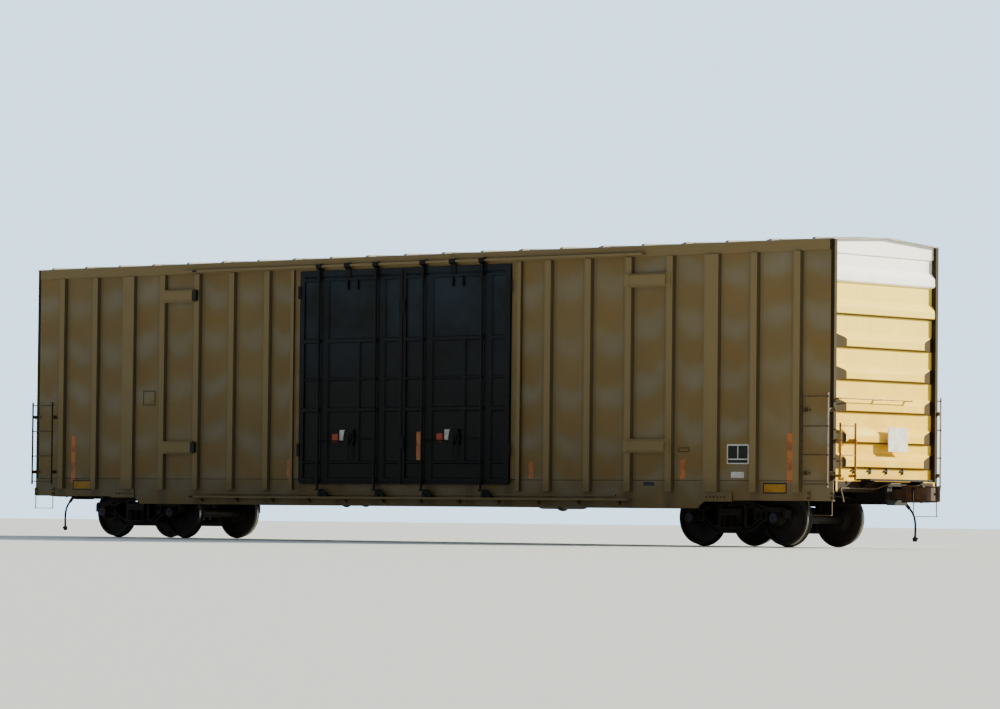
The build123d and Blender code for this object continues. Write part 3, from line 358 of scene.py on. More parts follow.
# Worn surfaces with a second colour in patches: cast, forged and rolled steel with brake dust and a warm
# rust bloom, moulded rubber, and brushed or sprayed paint that has browned. The columns are the base, the
# patches, the roughness, and the sizes of the grain and of the patches. Real sand skin and paint grain
# are well under a millimetre, too fine to show, so the grain is drawn at 4 to 12 mm.
wornLook = {"shader": {"IOR": 1.5, "Specular IOR Level": 0.3}, "smoother": 0.15, "rougher": 0.1,
            "bloom": dict(detail=5.0, rough=0.65, start=0.4, full=0.7),
            "grainDepth": {"Strength": 0.4, "Distance": 0.002}}
wornRows = {
    "castSteel": ("#0e0c09", "#261c13", 0.7, 0.012, 0.12),
    "springSteel": ("#17140f", "#3b2a1b", 0.6, 0.006, 0.12),
    "couplerSteel": ("#33241a", "#543823", 0.7, 0.012, 0.12),
    "boltSteel": ("#1d1811", "#3c2c1b", 0.55, 0.004, 0.03),
    "screwSteel": ("#4c4a46", "#5c4c3a", 0.5, 0.004, 0.03),
    "hoseRubber": ("#0d0d0e", "#1b1a19", 0.75, 0.004, 0.12),
    "boardPaint": ("#d9d7d0", "#b3ad9c", 0.5, 0.012, 0.12),
    "plateWhite": ("#d6d6d2", "#b9b6ac", 0.45, 0.01, 0.12),
    "plateBlack": ("#141519", "#25262a", 0.5, 0.01, 0.12),
    "plateRed": ("#b4442a", "#93402b", 0.5, 0.01, 0.12),
    "plateYellow": ("#a9790e", "#8e6917", 0.5, 0.01, 0.12),
    "ladderPaint": ("#594930", "#3b2b1a", 0.6, 0.006, 0.06),
    "endLadderPaint": ("#a87a2a", "#6b4720", 0.55, 0.006, 0.06),
    "capPaint": ("#1a2338", "#2a2a2e", 0.45, 0.006, 0.12),
    # groovePaint is near black: the lap beads' painted shadow line, and the card holders' wire
    "groovePaint": ("#2a2115", "#3a2e1d", 0.8, 0.012, 0.12),
}


def wornMaterial(name, look, base, patch, roughness, grainSize, patchSize):
    material, add, surface, at = startMaterial(name, look["shader"])
    bloom = patches(add, at["Object"], {**look["bloom"], "size": patchSize})
    grain = patches(add, at["Object"], {"size": grainSize})
    feed(surface, {
        "Base Color": coats(add, base, [(patch, bloom)]),
        "Roughness": add("MapRange", {"Value": bloom, "To Min": roughness - look["smoother"],
                                      "To Max": roughness + look["rougher"]}),
        "Normal": add("Bump", {"Height": grain, **look["grainDepth"]}),
    })
    return material


worn = {name: wornMaterial(name, wornLook, *row) for name, row in wornRows.items()}

# Roof: zinc-coated steel under tan paint that has weathered through in the sun
roofLook = {
    "shader": {"IOR": 1.5}, "paint": "#7f755c", "zinc": "#8f8c84", "dirt": "#5d5238", "rust": "#5b3a22",
    "paintRough": 0.6, "zincRough": 0.42,
    "bare": dict(size=0.5, detail=5.0, rough=0.6, stretch=(0.5, 1, 1), start=0.42, full=0.62),
    "runs": dict(size=0.06, stretch=(1, 0.05, 1), start=0.5, full=0.75, most=0.5),
    "specks": dict(size=0.09, detail=5.0, rough=0.7, start=0.64, full=0.72),
    "dents": dict(size=0.25), "dentDepth": {"Strength": 0.3, "Distance": 0.006},
}


def roofMaterial(look):
    material, add, surface, at = startMaterial("roofSteel", look["shader"])
    bare, runs, specks, dents = (patches(add, at["Object"], look[kind])
                                 for kind in ("bare", "runs", "specks", "dents"))
    color = coats(add, look["paint"], [(look["zinc"], bare), (look["dirt"], runs), (look["rust"], specks)])
    feed(surface, {
        "Base Color": color,
        "Roughness": add("MapRange", {"Value": bare, "To Min": look["paintRough"],
                                      "To Max": look["zincRough"]}),
        "Normal": add("Bump", {"Height": dents, **look["dentDepth"]}),
    })
    return material


roofSteel = roofMaterial(roofLook)

# Wheels: forged steel, rusty on the plate, black with oil near the hub, dull on the tread apart from
# the band that the rail polishes
wheelLook = {
    "shader": {"IOR": 1.5}, "axleHeight": 0.4572 + railTop,
    "base": "#16110d", "rust": "#2c2017", "greasy": "#0c0a08", "dull": "#1f1b17", "bright": "#7d7870",
    "rusty": dict(size=0.12, detail=5.0, rough=0.65, start=0.4, full=0.7),
    "oilRise": {"From Min": 0.26, "From Max": 0.20, "To Max": 0.8},
    "tread": 0.4435, "polished": (0.762, 0.792),  # from this radius out, and between these half widths
    "metalRise": {"To Max": 0.9}, "roughRise": {"To Min": 0.65, "To Max": 0.28},
    "grain": dict(size=0.012), "grainDepth": {"Strength": 0.3, "Distance": 0.001},
}
wheelsetPlaces = {"1": 7.0485 + 0.889, "2": 7.0485 - 0.889, "3": -7.0485 + 0.889, "4": -7.0485 - 0.889}


def wheelMaterial(number, look):
    material, add, surface, at = startMaterial(f"wheelSteel_{number}", look["shader"])
    place = at["Object"]
    # reach is the distance from the axle's line: the place without its Y, from the axle's middle
    flat = add("VectorMath", {0: place, 1: (1, 0, 1)}, operation="MULTIPLY").outputs["Vector"]
    center = (wheelsetPlaces[number], 0, look["axleHeight"])
    reach = add("VectorMath", {0: flat, 1: center}, operation="DISTANCE").outputs["Value"]
    out = add("Math", {0: add("SeparateXYZ", {"Vector": place}).outputs["Y"]}, operation="ABSOLUTE")
    tread = add("Math", {0: reach, 1: look["tread"]}, operation="GREATER_THAN")
    band = add("Math", {0: tread, 1: within(add, out, *look["polished"])}, operation="MULTIPLY")
    color = coats(add, look["base"], [
        (look["rust"], patches(add, place, look["rusty"])),
        (look["greasy"], add("MapRange", {"Value": reach, **look["oilRise"]})),
        (look["dull"], tread),
        (look["bright"], band),
    ])
    feed(surface, {
        "Base Color": color,
        "Metallic": add("MapRange", {"Value": band, **look["metalRise"]}),
        "Roughness": add("MapRange", {"Value": band, **look["roughRise"]}),
        "Normal": add("Bump", {"Height": patches(add, place, look["grain"]), **look["grainDepth"]}),
    })
    return material


wheelSteels = {number: wheelMaterial(number, wheelLook) for number in wheelsetPlaces}

# Fluorescent orange retroreflective sheet, dirty in patches, with darker bars across. Its prisms are
# about 0.2 mm across, too fine to show, and are drawn at 6 mm.
stripLook = {
    "shader": {"Roughness": 0.35, "IOR": 1.55}, "orange": "#ba6608", "amber": "#a65506", "dirt": "#5e3f14",
    "barSpacing": 0.32, "barPart": 0.42,
    "dirty": dict(size=0.1, detail=4.0, start=0.5, full=0.7, most=0.75),
    "prisms": dict(size=0.006, detail=1.0), "prismDepth": {"Strength": 0.3, "Distance": 0.0005},
}


def reflectorMaterial(look):
    material, add, surface, at = startMaterial("reflectorSheet", look["shader"])
    place = at["Object"]
    height = add("SeparateXYZ", {"Vector": place}).outputs["Z"]
    spaced = add("Math", {0: height, 1: look["barSpacing"]}, operation="DIVIDE")
    part = add("Math", {0: spaced}, operation="FRACT")
    bars = add("Math", {0: part, 1: look["barPart"]}, operation="LESS_THAN")
    color = coats(add, look["orange"], [
        (look["amber"], bars),
        (look["dirt"], patches(add, place, look["dirty"])),
    ])
    prisms = add("Bump", {"Height": patches(add, place, look["prisms"]), **look["prismDepth"]})
    feed(surface, {"Base Color": color, "Normal": prisms})
    return material


reflectorSheet = reflectorMaterial(stripLook)

# The finish of each node, by how its name starts
nodeFinish = [
    (sideEnamel, ("side_wall", "side_sill", "top_chords", "door_stops", "door_frame", "door_tracks")),
    (worn["ladderPaint"], ("side_ladders", "sill_steps", "uncoupling")),
    (endEnamel, ("end_wall",)),
    (worn["endLadderPaint"], ("end_ladders",)),
    (worn["boardPaint"], ("placard",)),
    (doorEnamel, ("plug_door",)),
    (gearEnamel, ("door_gear",)),
    (roofSteel, ("roof",)),
    (underframeEnamel, ("center_sill", "draft_sills", "body_bolsters", "crossbearers", "floor", "air_brake",
                        "train_line", "hand_brake", "crossover")),
    (worn["castSteel"], ("truck_bolster", "side_frames", "springs", "bearings", "brake_beams", "glad_hand",
                         "axle")),
    (worn["couplerSteel"], ("coupler", "knuckle")),
    (worn["hoseRubber"], ("air_hose",)),
]
nodeFinish += [(steel, (f"wheels_{number}",)) for number, steel in wheelSteels.items()]
for name, item in nodes.items():
    finish = next(material for material, starts in nodeFinish if name.startswith(starts))
    item.data.materials.clear()
    item.data.materials.append(finish)
print("finishes on", len(nodes), "nodes")


def newMesh(name, points, faces, material, body="carbody", smooth=False):
    # poles and seams are grids whose points coincide, so they are merged here
    data = bpy.data.meshes.new(name)
    data.from_pydata(np.asarray(points, dtype=float).tolist(), [], np.asarray(faces).tolist())
    work = bmesh.new()
    work.from_mesh(data)
    bmesh.ops.remove_doubles(work, verts=work.verts, dist=1e-5)
    work.to_mesh(data)
    work.free()
    data.materials.append(material)
    if smooth:
        data.polygons.foreach_set("use_smooth", np.ones(len(data.polygons), dtype=bool))
    data.update()
    piece = bpy.data.objects.new(name, data)
    bpy.context.scene.collection.objects.link(piece)
    if body:
        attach(piece, body)
    return piece


def gridFaces(rows, columns):
    # quads between neighbouring rows of points, each row a closed ring
    r, c = np.meshgrid(np.arange(rows - 1), np.arange(columns), indexing="ij")
    after = (c + 1) % columns
    corners = [r * columns + c, r * columns + after, (r + 1) * columns + after, (r + 1) * columns + c]
    return np.stack(corners, -1).reshape(-1, 4)


def revolved(profile, sides):
    # profile rows are (radius, height), and a runs round the full circle:
    # point = (radius cos a, radius sin a, height)
    turn = np.arange(sides) * 2 * np.pi / sides
    radius, height = np.asarray(profile, dtype=float).T
    points = np.stack([np.outer(radius, np.cos(turn)), np.outer(radius, np.sin(turn)),
                       np.repeat(height[:, None], sides, 1)], -1)
    return points.reshape(-1, 3), gridFaces(len(profile), sides)


def turnTo(axes):
    # for each direction, the matrix whose third column is it and whose first two are square to it
    axes = np.asarray(axes, dtype=float).reshape(-1, 3)
    axes = axes / np.linalg.norm(axes, axis=1)[:, None]
    helper = np.where(np.abs(axes[:, :1]) > 0.9, [[0.0, 1.0, 0.0]], [[1.0, 0.0, 0.0]])
    first = np.cross(helper, axes)
    first /= np.linalg.norm(first, axis=1)[:, None]
    return np.stack([first, np.cross(axes, first), axes], -1)


def copies(shape, places, axes):
    # the same shape at each place, its own Z turned along that place's axis
    points, faces = shape
    places = np.asarray(places, dtype=float).reshape(-1, 3)
    turns = turnTo(np.broadcast_to(np.asarray(axes, dtype=float), places.shape))
    every = np.einsum("mij,nj->mni", turns, points) + places[:, None, :]
    shift = np.arange(len(places)) * len(points)
    return every.reshape(-1, 3), (faces[None] + shift[:, None, None]).reshape(-1, 4)


def tubeAlong(path, radius, sides=10):
    # rings of the radius round the path, square to its direction there, closed by pinched ends
    path = np.asarray(path, dtype=float)
    way = np.gradient(path, axis=0)
    way /= np.linalg.norm(way, axis=1)[:, None]
    first = turnTo(way[:1])[0, :, 0]
    frames = np.empty((len(path), 2, 3))
    for i, w in enumerate(way):  # each ring's frame is carried on from the last, so the tube doesn't twist
        first = first - w * first.dot(w)
        first = first / np.linalg.norm(first)
        frames[i] = first, np.cross(w, first)
    turn = np.arange(sides) * 2 * np.pi / sides
    ring = np.cos(turn)[None, :, None] * frames[:, :1] + np.sin(turn)[None, :, None] * frames[:, 1:]
    rings = path[:, None] + radius * ring
    start, end = (np.repeat(path[[k]], sides, 0)[None] for k in (0, -1))
    return np.concatenate([start, rings, end]).reshape(-1, 3), gridFaces(len(path) + 2, sides)


def joined(parts):
    # several (points, faces) as one
    shifts = np.cumsum([0] + [len(points) for points, _ in parts[:-1]])
    return (np.concatenate([points for points, _ in parts]),
            np.concatenate([np.asarray(faces) + shift for (_, faces), shift in zip(parts, shifts)]))


def turnedRound(shape):
    # the same shape on the other side and end, turned half way round the vertical
    return np.asarray(shape[0]) * [-1, -1, 1], shape[1]


def plate(x0, x1, z0, z1, back, thick=0.003, corner=0.012, bevel=0.0012, steps=4):
    # flat plate on the near side, its back at y = -back: corner centre + corner radius * (cos, sin) round
    # four quarter circles, carried from the back to a slightly smaller front
    a = np.linspace(0, np.pi / 2, steps)
    quarters = [a + k * np.pi / 2 for k in range(4)]
    unit = np.concatenate([np.stack([np.cos(q), np.sin(q)], -1) for q in quarters])
    signs = np.repeat([[1, 1], [-1, 1], [-1, -1], [1, -1]], steps, 0)
    half = np.array([(x1 - x0) / 2, (z1 - z0) / 2])
    outline = signs * (half - corner) + unit * corner
    smaller = signs * (half - corner) + unit * (corner - bevel)
    rows = [(0 * outline, 0.0), (outline, 0.0), (outline, thick - bevel),
            (smaller, thick), (0 * outline, thick)]
    middleX, middleZ = (x0 + x1) / 2, (z0 + z1) / 2 + railTop
    points = [np.stack([middleX + flat[:, 0], np.full(len(flat), -back - depth), middleZ + flat[:, 1]], -1)
              for flat, depth in rows]
    return np.concatenate(points), gridFaces(len(rows), len(outline))


def bothSides(name, shapes, material, smooth=False):
    # one piece from shapes on the near side and the same ones on the far side
    shape = joined(list(shapes))
    points, faces = joined([shape, turnedRound(shape)])
    return newMesh(name, points, faces, material, smooth=smooth)


# Heads of the lock bolts that hold ladders, steps and gear: a washer face, a flat and a low dome, as
# (part of the radius, part of the height)
boltLook = {"radius": 0.013, "height": 0.012, "sides": 10,
            "profile": [(0, -1 / 6), (1.35, -1 / 6), (1.35, 0.2), (1, 0.25), (0.9, 0.75), (0.55, 1),
                        (0, 1.03)]}
boltMeasures = (boltLook["radius"], boltLook["height"])
boltShape = revolved(np.array(boltLook["profile"]) * boltMeasures, boltLook["sides"])


def bolts(places, axis, size=1.0):
    places = np.asarray(places, dtype=float).reshape(-1, 3) + [0, 0, railTop]
    return copies((boltShape[0] * size, boltShape[1]), places, axis)


# Side ladders and sill steps at both corners of each side, in the sizes of the solid ones. A bracket or
# pad is (thickness, corner radius).
ladder = {"rungs": (1.02, 1.50, 1.97, 2.46), "stiles": (8.856, 9.396), "rungY": -1.600, "feet": (1.20, 2.24),
          "footX": (8.872, 9.376), "bracketHalf": (0.085, 0.034), "bracket": (0.008, 0.010),
          "boltOff": 0.062}
step = {"legX": (8.93, 9.40), "boltZ": (0.792, 0.868), "padHalf": (0.034, 0.075), "pad": (0.012, 0.012),
        "boltOff": 0.019, "boltOut": 0.0135, "boltSize": 0.8}


def ladderDetails():
    heads, brackets, padShapes, stepHeads = [], [], [], []
    for end in (-1, 1):
        for x, out in zip(ladder["stiles"], (-1, 1)):
            heads.append(bolts([(end * x, ladder["rungY"], z) for z in ladder["rungs"]], (end * out, 0, 0)))
        for x in ladder["footX"]:
            for z in ladder["feet"]:
                w, t = ladder["bracketHalf"]
                brackets.append(plate(end * x - w, end * x + w, z - t, z + t, sheetFace, *ladder["bracket"]))
                y = -sheetFace - ladder["bracket"][0]
                heads.append(bolts([(end * x + s * ladder["boltOff"], y, z) for s in (-1, 1)], (0, -1, 0)))
        for x in step["legX"]:
            w, t = step["padHalf"]
            middle = sum(step["boltZ"]) / 2
            low, high = middle - t, middle + t
            padShapes.append(plate(end * x - w, end * x + w, low, high, sheetFace, *step["pad"]))
            y = -sheetFace - step["boltOut"]
            places = [(end * x + s * step["boltOff"], y, z) for z in step["boltZ"] for s in (-1, 1)]
            stepHeads.append(bolts(places, (0, -1, 0), step["boltSize"]))
    bothSides("ladderBolts", heads, worn["boltSteel"], True)
    bothSides("ladderBrackets", brackets, sideEnamel)
    bothSides("sillStepPads", padShapes, sideEnamel)
    bothSides("sillStepBolts", stepHeads, worn["boltSteel"], True)


ladderDetails()
print("bolts on ladders and steps")

# Ladders, handhold and lever brackets on both ends, drawn at the +X end. A bolt is (how far it stands
# out, its size), and a clip is two bars as (left, right, half height) and its (thickness, corner radius).
endFittings = {"stileY": (-1.420, -1.000), "rungX": 9.510, "rungs": (1.50, 1.98), "rungBolt": (0.004, 1.0),
               "feet": (1.16, 1.745), "footBolt": (0.020, 0.8),
               "barX": 9.500, "barZ": 2.430, "barFeet": (-1.40, -0.30, 0.59), "barBolt": (0.004, 0.9),
               "clips": (-0.81, -0.35, 0.11, 0.57), "clipZ": 1.255, "clipX": 9.330, "clip": (0.030, 0.004),
               "clipBars": ((-0.010, 0.010, 0.052), (-0.078, 0.020, 0.010))}


def endDetails(e):
    heads = []
    for y, out in zip(e["stileY"], (-1, 1)):
        proud, size = e["rungBolt"]
        heads.append(bolts([(e["rungX"], y + out * proud, z) for z in e["rungs"]], (0, out, 0), size))
        proud, size = e["footBolt"]
        heads.append(bolts([(e["rungX"] + proud, y, z) for z in e["feet"]], (1, 0, 0), size))
    proud, size = e["barBolt"]
    heads.append(bolts([(e["barX"] + proud, y, e["barZ"]) for y in e["barFeet"]], (1, 0, 0), size))
    shape = joined(heads)
    newMesh("endFittingBolts", *joined([shape, turnedRound(shape)]), worn["boltSteel"], smooth=True)
    # small clips on the lowest part of the sheet, each a bar with an arm: near side plates turned to face
    # +X, so that (x, y) becomes (-y, x)
    clips = []
    for y in e["clips"]:
        for left, right, half in e["clipBars"]:
            low, high = e["clipZ"] - half, e["clipZ"] + half
            points, faces = plate(y + left, y + right, low, high, e["clipX"], *e["clip"])
            clips.append((points[:, [1, 0, 2]] * [-1, 1, 1], faces))
    shape = joined(clips)
    newMesh("endClips", *joined([shape, turnedRound(shape)]), worn["boltSteel"])


endDetails(endFittings)
print("bolts on the ends")

# The lap between the side sheets and the sill: a bead in each panel, near black as a painted shadow line
# along the lap
lap = {"height": 1.075, "radius": 0.0045, "firstPost": 3.34, "spacing": 0.892, "posts": 7, "wide": 4,
       "halfWidth": 0.087, "wideHalf": 0.167, "doorPost": 2.735, "end": 9.335, "sides": 6}


def lapBeads():
    centers = lap["firstPost"] + lap["spacing"] * np.arange(lap["posts"])
    halves = np.where(np.arange(lap["posts"]) == lap["wide"], lap["wideHalf"], lap["halfWidth"])
    starts = np.concatenate([[lap["doorPost"]], centers + halves])
    stops = np.concatenate([centers - halves, [lap["end"]]])
    height = lap["height"] + railTop
    parts = []
    for end in (-1, 1):
        for a, b in zip(starts, stops):
            path = np.linspace([end * a, -sheetFace, height], [end * b, -sheetFace, height], 3)
            parts.append(tubeAlong(path, lap["radius"], lap["sides"]))
    bothSides("lapBeads", parts, worn["groovePaint"])


lapBeads()

# Reflective strips, as (left, right, bottom, top) on the near side's sheets, and one on a door. A form is
# a plate's (thickness, corner radius, bevel).
strips = {"onSheets": [(-8.45, -8.34, 0.99, 1.90), (8.475, 8.595, 1.04, 1.86), (6.23, 6.34, 1.10, 1.45),
                       (-2.84, -2.74, 1.09, 1.42), (2.90, 3.00, 1.10, 1.39)],
          "onDoors": [(0.335, 0.455, 1.42, 1.92)], "form": (0.0015, 0.006, 0.0005)}
bothSides("reflectiveStrips", [plate(*box, sheetFace, *strips["form"]) for box in strips["onSheets"]]
          + [plate(*box, doorSheet, *strips["form"]) for box in strips["onDoors"]], reflectorSheet)

# Blank signs: a white board with dark fields, a white label, and yellow labels with black borders
signs = {"board": (7.22, 7.68, 1.35, 1.68), "boardForm": (0.003, 0.02),
         "fields": [(7.245, 7.44, 1.44, 1.655), (7.46, 7.655, 1.44, 1.655), (7.245, 7.655, 1.37, 1.42)],
         "fieldForm": (0.0012, 0.004, 0.0005),
         "label": (7.31, 7.58, 1.12, 1.22), "labelForm": (0.002, 0.012),
         "yellow": [(-8.40, -7.91, 0.86, 1.05), (7.98, 8.47, 0.86, 1.04)], "border": 0.024,
         "yellowForm": (0.0012, 0.006, 0.0005), "backForm": (0.002, 0.01),
         "slate": (5.44, 5.68, 0.985, 1.045),
         "cards": [(6.20, 6.42, 1.56, 1.62), (-6.53, -6.23, 2.45, 2.71)],
         "wireOut": 0.005, "wireRadius": 0.0055, "wireSides": 8}


def signPlates(s):
    boards = [plate(*s["board"], sheetFace, *s["boardForm"]), plate(*s["label"], sheetFace, *s["labelForm"])]
    bothSides("signBoards", boards, worn["plateWhite"])
    onBoard = sheetFace + s["boardForm"][0]
    bothSides("signFields", [plate(*field, onBoard, *s["fieldForm"]) for field in s["fields"]]
              + [plate(*box, sheetFace, *s["backForm"]) for box in s["yellow"]], worn["plateBlack"])
    bothSides("slateLabel", [plate(*s["slate"], sheetFace, *s["backForm"])], worn["capPaint"])
    b, onBack = s["border"], sheetFace + s["backForm"][0]
    bothSides("yellowLabels", [plate(x0 + b, x1 - b, z0 + b, z1 - b, onBack, *s["yellowForm"])
                               for x0, x1, z0, z1 in s["yellow"]], worn["plateYellow"])
    # card holders: an open frame of round wire on the sheet
    frames = []
    y = -sheetFace - s["wireOut"]
    for x0, x1, z0, z1 in s["cards"]:
        corners = [(x, y, z + railTop) for x, z in ((x0, z0), (x1, z0), (x1, z1), (x0, z1))]
        for a, b in zip(corners, corners[1:] + corners[:1]):
            frames.append(tubeAlong(np.linspace(a, b, 3), s["wireRadius"], s["wireSides"]))
    bothSides("cardHolders", frames, worn["groovePaint"], True)


signPlates(signs)

# Blank plates on the doors beside the gear case, by distance from each leaf's left edge
doorPlates = {"leaves": (0.006, -2.494), "form": (0.002, 0.01),
              "White": (0.985, 1.155, 1.75, 1.96), "Red": (0.80, 0.94, 1.74, 1.89)}
for name in ("White", "Red"):
    x0, x1, z0, z1 = doorPlates[name]
    plates = [plate(leaf + x0, leaf + x1, z0, z1, doorSheet, *doorPlates["form"])
              for leaf in doorPlates["leaves"]]
    bothSides(f"doorPlates{name}", plates, worn[f"plate{name}"])
print("strips, signs and plates")

# Where the two leaves meet: rubber seals with a rod between them and catches across, lugs on the outer
# edges that lap the frame posts, and two short stops hanging from each leaf's top rail
doorEdges = {"seals": ((-0.080, -0.012), (0.012, 0.080)), "sealForm": (0.030, 0.004),
             "low": 1.00, "high": 4.79, "rodY": -1.556, "rodRadius": 0.010, "rodSides": 8,
             "catches": ((4.04, 4.26), (1.62, 1.84)), "catchHalf": 0.070, "catchForm": (0.032, 0.008, 0.003),
             "lugs": ((4.33, 4.56), (1.49, 1.72)), "lugX": 2.500, "lugHalf": 0.032,
             "lugForm": (0.020, 0.006, 0.002),
             "stops": (1.165, 1.400), "stopHeights": (4.47, 4.66), "stopHalf": 0.017,
             "stopForm": (0.036, 0.006)}


def doorEdgePieces(e):
    seals = [plate(a, b, e["low"], e["high"], doorSheet, *e["sealForm"]) for a, b in e["seals"]]
    bothSides("doorSeals", seals, worn["hoseRubber"])
    rod = np.linspace([0, e["rodY"], e["low"] + railTop], [0, e["rodY"], e["high"] + railTop], 3)
    half = e["catchHalf"]
    parts = [tubeAlong(rod, e["rodRadius"], e["rodSides"])]
    parts += [plate(-half, half, low, high, doorRib, *e["catchForm"]) for low, high in e["catches"]]
    for x in (-e["lugX"], e["lugX"]):
        parts += [plate(x - e["lugHalf"], x + e["lugHalf"], low, high, doorRib, *e["lugForm"])
                  for low, high in e["lugs"]]
    wide = e["stopHalf"]
    for x in [leaf + off for leaf in doorPlates["leaves"] for off in e["stops"]]:
        parts.append(plate(x - wide, x + wide, *e["stopHeights"], doorSheet, *e["stopForm"]))
    bothSides("doorCatches", parts, gearEnamel)


doorEdgePieces(doorEdges)
print("seals and catches on the doors")

# Truck springs: an outer and an inner coil of round bar, their end turns flat on the seats. A coil is
# (radius, radius of its bar, hand).
springLook = {"turns": 5.5, "steps": 22, "sides": 8, "flatPart": 0.09, "rows": (-0.15, 0.0, 0.15),
              "lines": (0.94, 1.07), "coils": ((0.054, 0.0105, 1), (0.030, 0.007, -1))}


def springCoils(letter, look):
    # centreline: (R cos t, R sin t, z), z rising with t between the seats
    low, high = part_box(f"springs_{letter}")
    middle = (low[0] + high[0]) / 2
    part = np.linspace(0, 1, int(look["turns"] * look["steps"]))
    rise = np.clip((part - look["flatPart"]) / (1 - 2 * look["flatPart"]), 0, 1)
    parts = []
    for radius, wire, hand in look["coils"]:
        t = part * look["turns"] * 2 * np.pi * hand
        z = low[2] + wire + rise * (high[2] - low[2] - 2 * wire)
        coil = tubeAlong(np.stack([radius * np.cos(t), radius * np.sin(t), z], -1), wire, look["sides"])
        parts += [(coil[0] + [middle + x, side * y, 0], coil[1])
                  for x in look["rows"] for y in look["lines"] for side in (-1, 1)]
    coils = newMesh(f"springCoils_{letter}", *joined(parts), worn["springSteel"], f"truck_{letter}", True)
    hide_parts(f"springs_{letter}")


for letter in "ab":
    springCoils(letter, springLook)
print("springs wound")

# Caps on the axle ends: a painted disc, three cap screws and a bright plug in the middle, their profiles
# as (radius, height)
capLook = {"face": 1.135, "sunk": 0.001, "discSides": 32, "plugSides": 8,
           "disc": [(0, 0), (0.086, 0), (0.086, 0.006), (0.075, 0.010), (0.034, 0.010), (0.030, 0.006),
                    (0, 0.006)],
           "plug": [(0, 0.004), (0.014, 0.004), (0.014, 0.016), (0.010, 0.019), (0, 0.019)],
           "boltCircle": 0.050, "boltTurns": (90, 210, 330), "boltOut": 0.008, "boltSize": 0.85}


def axleCaps(number, x, look):
    disc = revolved(look["disc"], look["discSides"])
    plug = revolved(look["plug"], look["plugSides"])
    turn = np.radians(look["boltTurns"])
    circle = np.stack([x + look["boltCircle"] * np.cos(turn), 0 * turn,
                       wheelLook["axleHeight"] - railTop + look["boltCircle"] * np.sin(turn)], -1)
    discs, screws = [], []
    for side in (-1, 1):
        place = (x, side * (look["face"] - look["sunk"]), wheelLook["axleHeight"])
        discs.append(copies(disc, place, (0, side, 0)))
        screws.append(copies(plug, place, (0, side, 0)))
        face = circle + [0, side * (look["face"] + look["boltOut"]), 0]
        screws.append(bolts(face, (0, side, 0), look["boltSize"]))
    newMesh(f"axleCaps_{number}", *joined(discs), worn["capPaint"], f"wheelset_{number}")
    newMesh(f"axleCapScrews_{number}", *joined(screws), worn["screwSteel"], f"wheelset_{number}", True)


for number, x in wheelsetPlaces.items():
    axleCaps(number, x, capLook)
print("axle caps")

# Air hoses: a thick rubber hose that comes out of the angle cock and hangs to its coupling.
# The route is the solid one's, at the +X end, in metres above the rail.
hose = {
    "route": [(9.660, 0.330, 0.640), (9.708, 0.330, 0.592), (9.745, 0.331, 0.533), (9.768, 0.332, 0.467),
              (9.778, 0.334, 0.398), (9.780, 0.336, 0.328), (9.778, 0.338, 0.258), (9.772, 0.340, 0.190)],
    "diameter": 0.038, "length": 0.485, "roundness": 6,
}


def airHose(letter, turn):
    data = bpy.data.curves.new(f"airHose_{letter}", "CURVE")
    data.dimensions = "3D"
    data.bevel_depth = hose["diameter"] / 2
    data.bevel_resolution = hose["roundness"]
    data.use_fill_caps = True
    spline = data.splines.new("NURBS")
    spline.points.add(len(hose["route"]) - 1)
    for point, (x, y, z) in zip(spline.points, hose["route"]):
        point.co = (turn * x, turn * y, z + railTop, 1.0)
    spline.order_u = 3
    spline.use_endpoint_u = True
    data.materials.append(worn["hoseRubber"])
    piece = bpy.data.objects.new(f"airHose_{letter}", data)
    bpy.context.scene.collection.objects.link(piece)
    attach(piece, "carbody")
    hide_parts(f"air_hose_{letter}")
    x, y, z = hose["route"][0]


for letter, turn in (("a", 1), ("b", -1)):
    airHose(letter, turn)
print("air hoses hung")

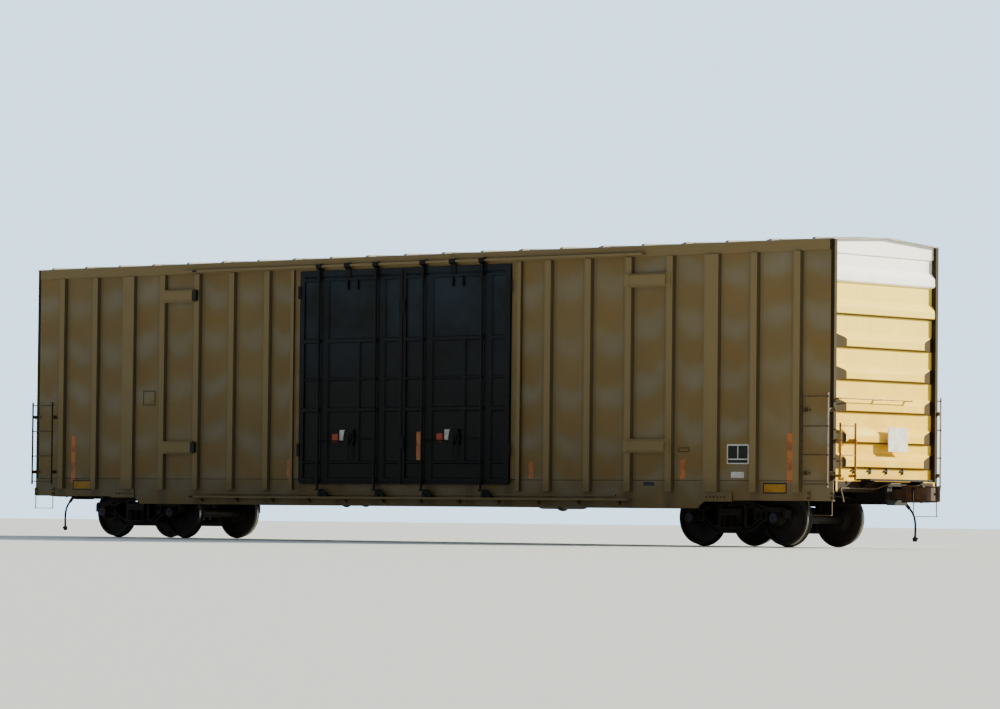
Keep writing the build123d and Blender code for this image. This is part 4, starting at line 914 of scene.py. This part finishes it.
# Studio: a pale floor, soft light all round that is brightest from beyond the far side, so that the near
# side is in shade, a low sun from beyond the +X end and the far side, and broad soft light in front
studio = {"floorShader": {"Base Color": "#c3c0ba", "Roughness": 0.9}, "floorHalf": 220.0,
          "floorLevel": -0.002,  # clear of the flange tips
          "dimColor": "#dfedf7", "brightColor": "#c3e3fb", "brightWay": (-0.25, 0.97, 0.0),
          "dimmest": 0.27, "brightest": 2.6, "dimTo": -0.2, "brightFrom": 0.8}
suns = {
    "lowSun": {"energy": 12.0, "spread": 3.0, "color": (1.0, 0.95, 0.74), "towards": (0.60, 0.70, 0.40)},
    "softFill": {"energy": 0.08, "spread": 60.0, "color": (1.0, 1.0, 1.0), "towards": (-0.45, -0.80, 0.5)},
}


def studioFloor():
    material = startMaterial("paleFloor", studio["floorShader"])[0]
    corners = np.array([(-1, -1, 0), (1, -1, 0), (1, 1, 0), (-1, 1, 0)]) * studio["floorHalf"]
    points = corners + [0, 0, studio["floorLevel"]]
    floor = newMesh("studioFloor", points, [(0, 1, 2, 3)], material, body=None)


def studioSky():
    # how far a direction faces the bright way is its dot product with it
    world = bpy.data.worlds.new("studioSky")
    world.use_nodes = True
    add = partial(addNode, world.node_tree)
    facing = add("VectorMath", {0: add("TexCoord", {}).outputs["Generated"], 1: studio["brightWay"]},
                 operation="DOT_PRODUCT")
    amount = add("MapRange", {"Value": facing.outputs["Value"], "From Min": studio["dimTo"],
                              "From Max": studio["brightFrom"]}, interpolation_type="SMOOTHSTEP")
    feed(world.node_tree.nodes["Background"], {
        "Color": coats(add, studio["dimColor"], [(studio["brightColor"], amount)]),
        "Strength": add("MapRange", {"Value": amount, "To Min": studio["dimmest"],
                                     "To Max": studio["brightest"]}),
    })
    bpy.context.scene.world = world


def addSun(name, look):
    sun = bpy.data.lights.new(name, "SUN")
    sun.energy = look["energy"]
    sun.angle = math.radians(look["spread"])
    sun.color = look["color"]
    item = bpy.data.objects.new(name, sun)
    item.rotation_euler = Vector(look["towards"]).to_track_quat("Z", "Y").to_euler()
    bpy.context.scene.collection.objects.link(item)


studioFloor()
studioSky()
for name, look in suns.items():
    addSun(name, look)
print("studio set")
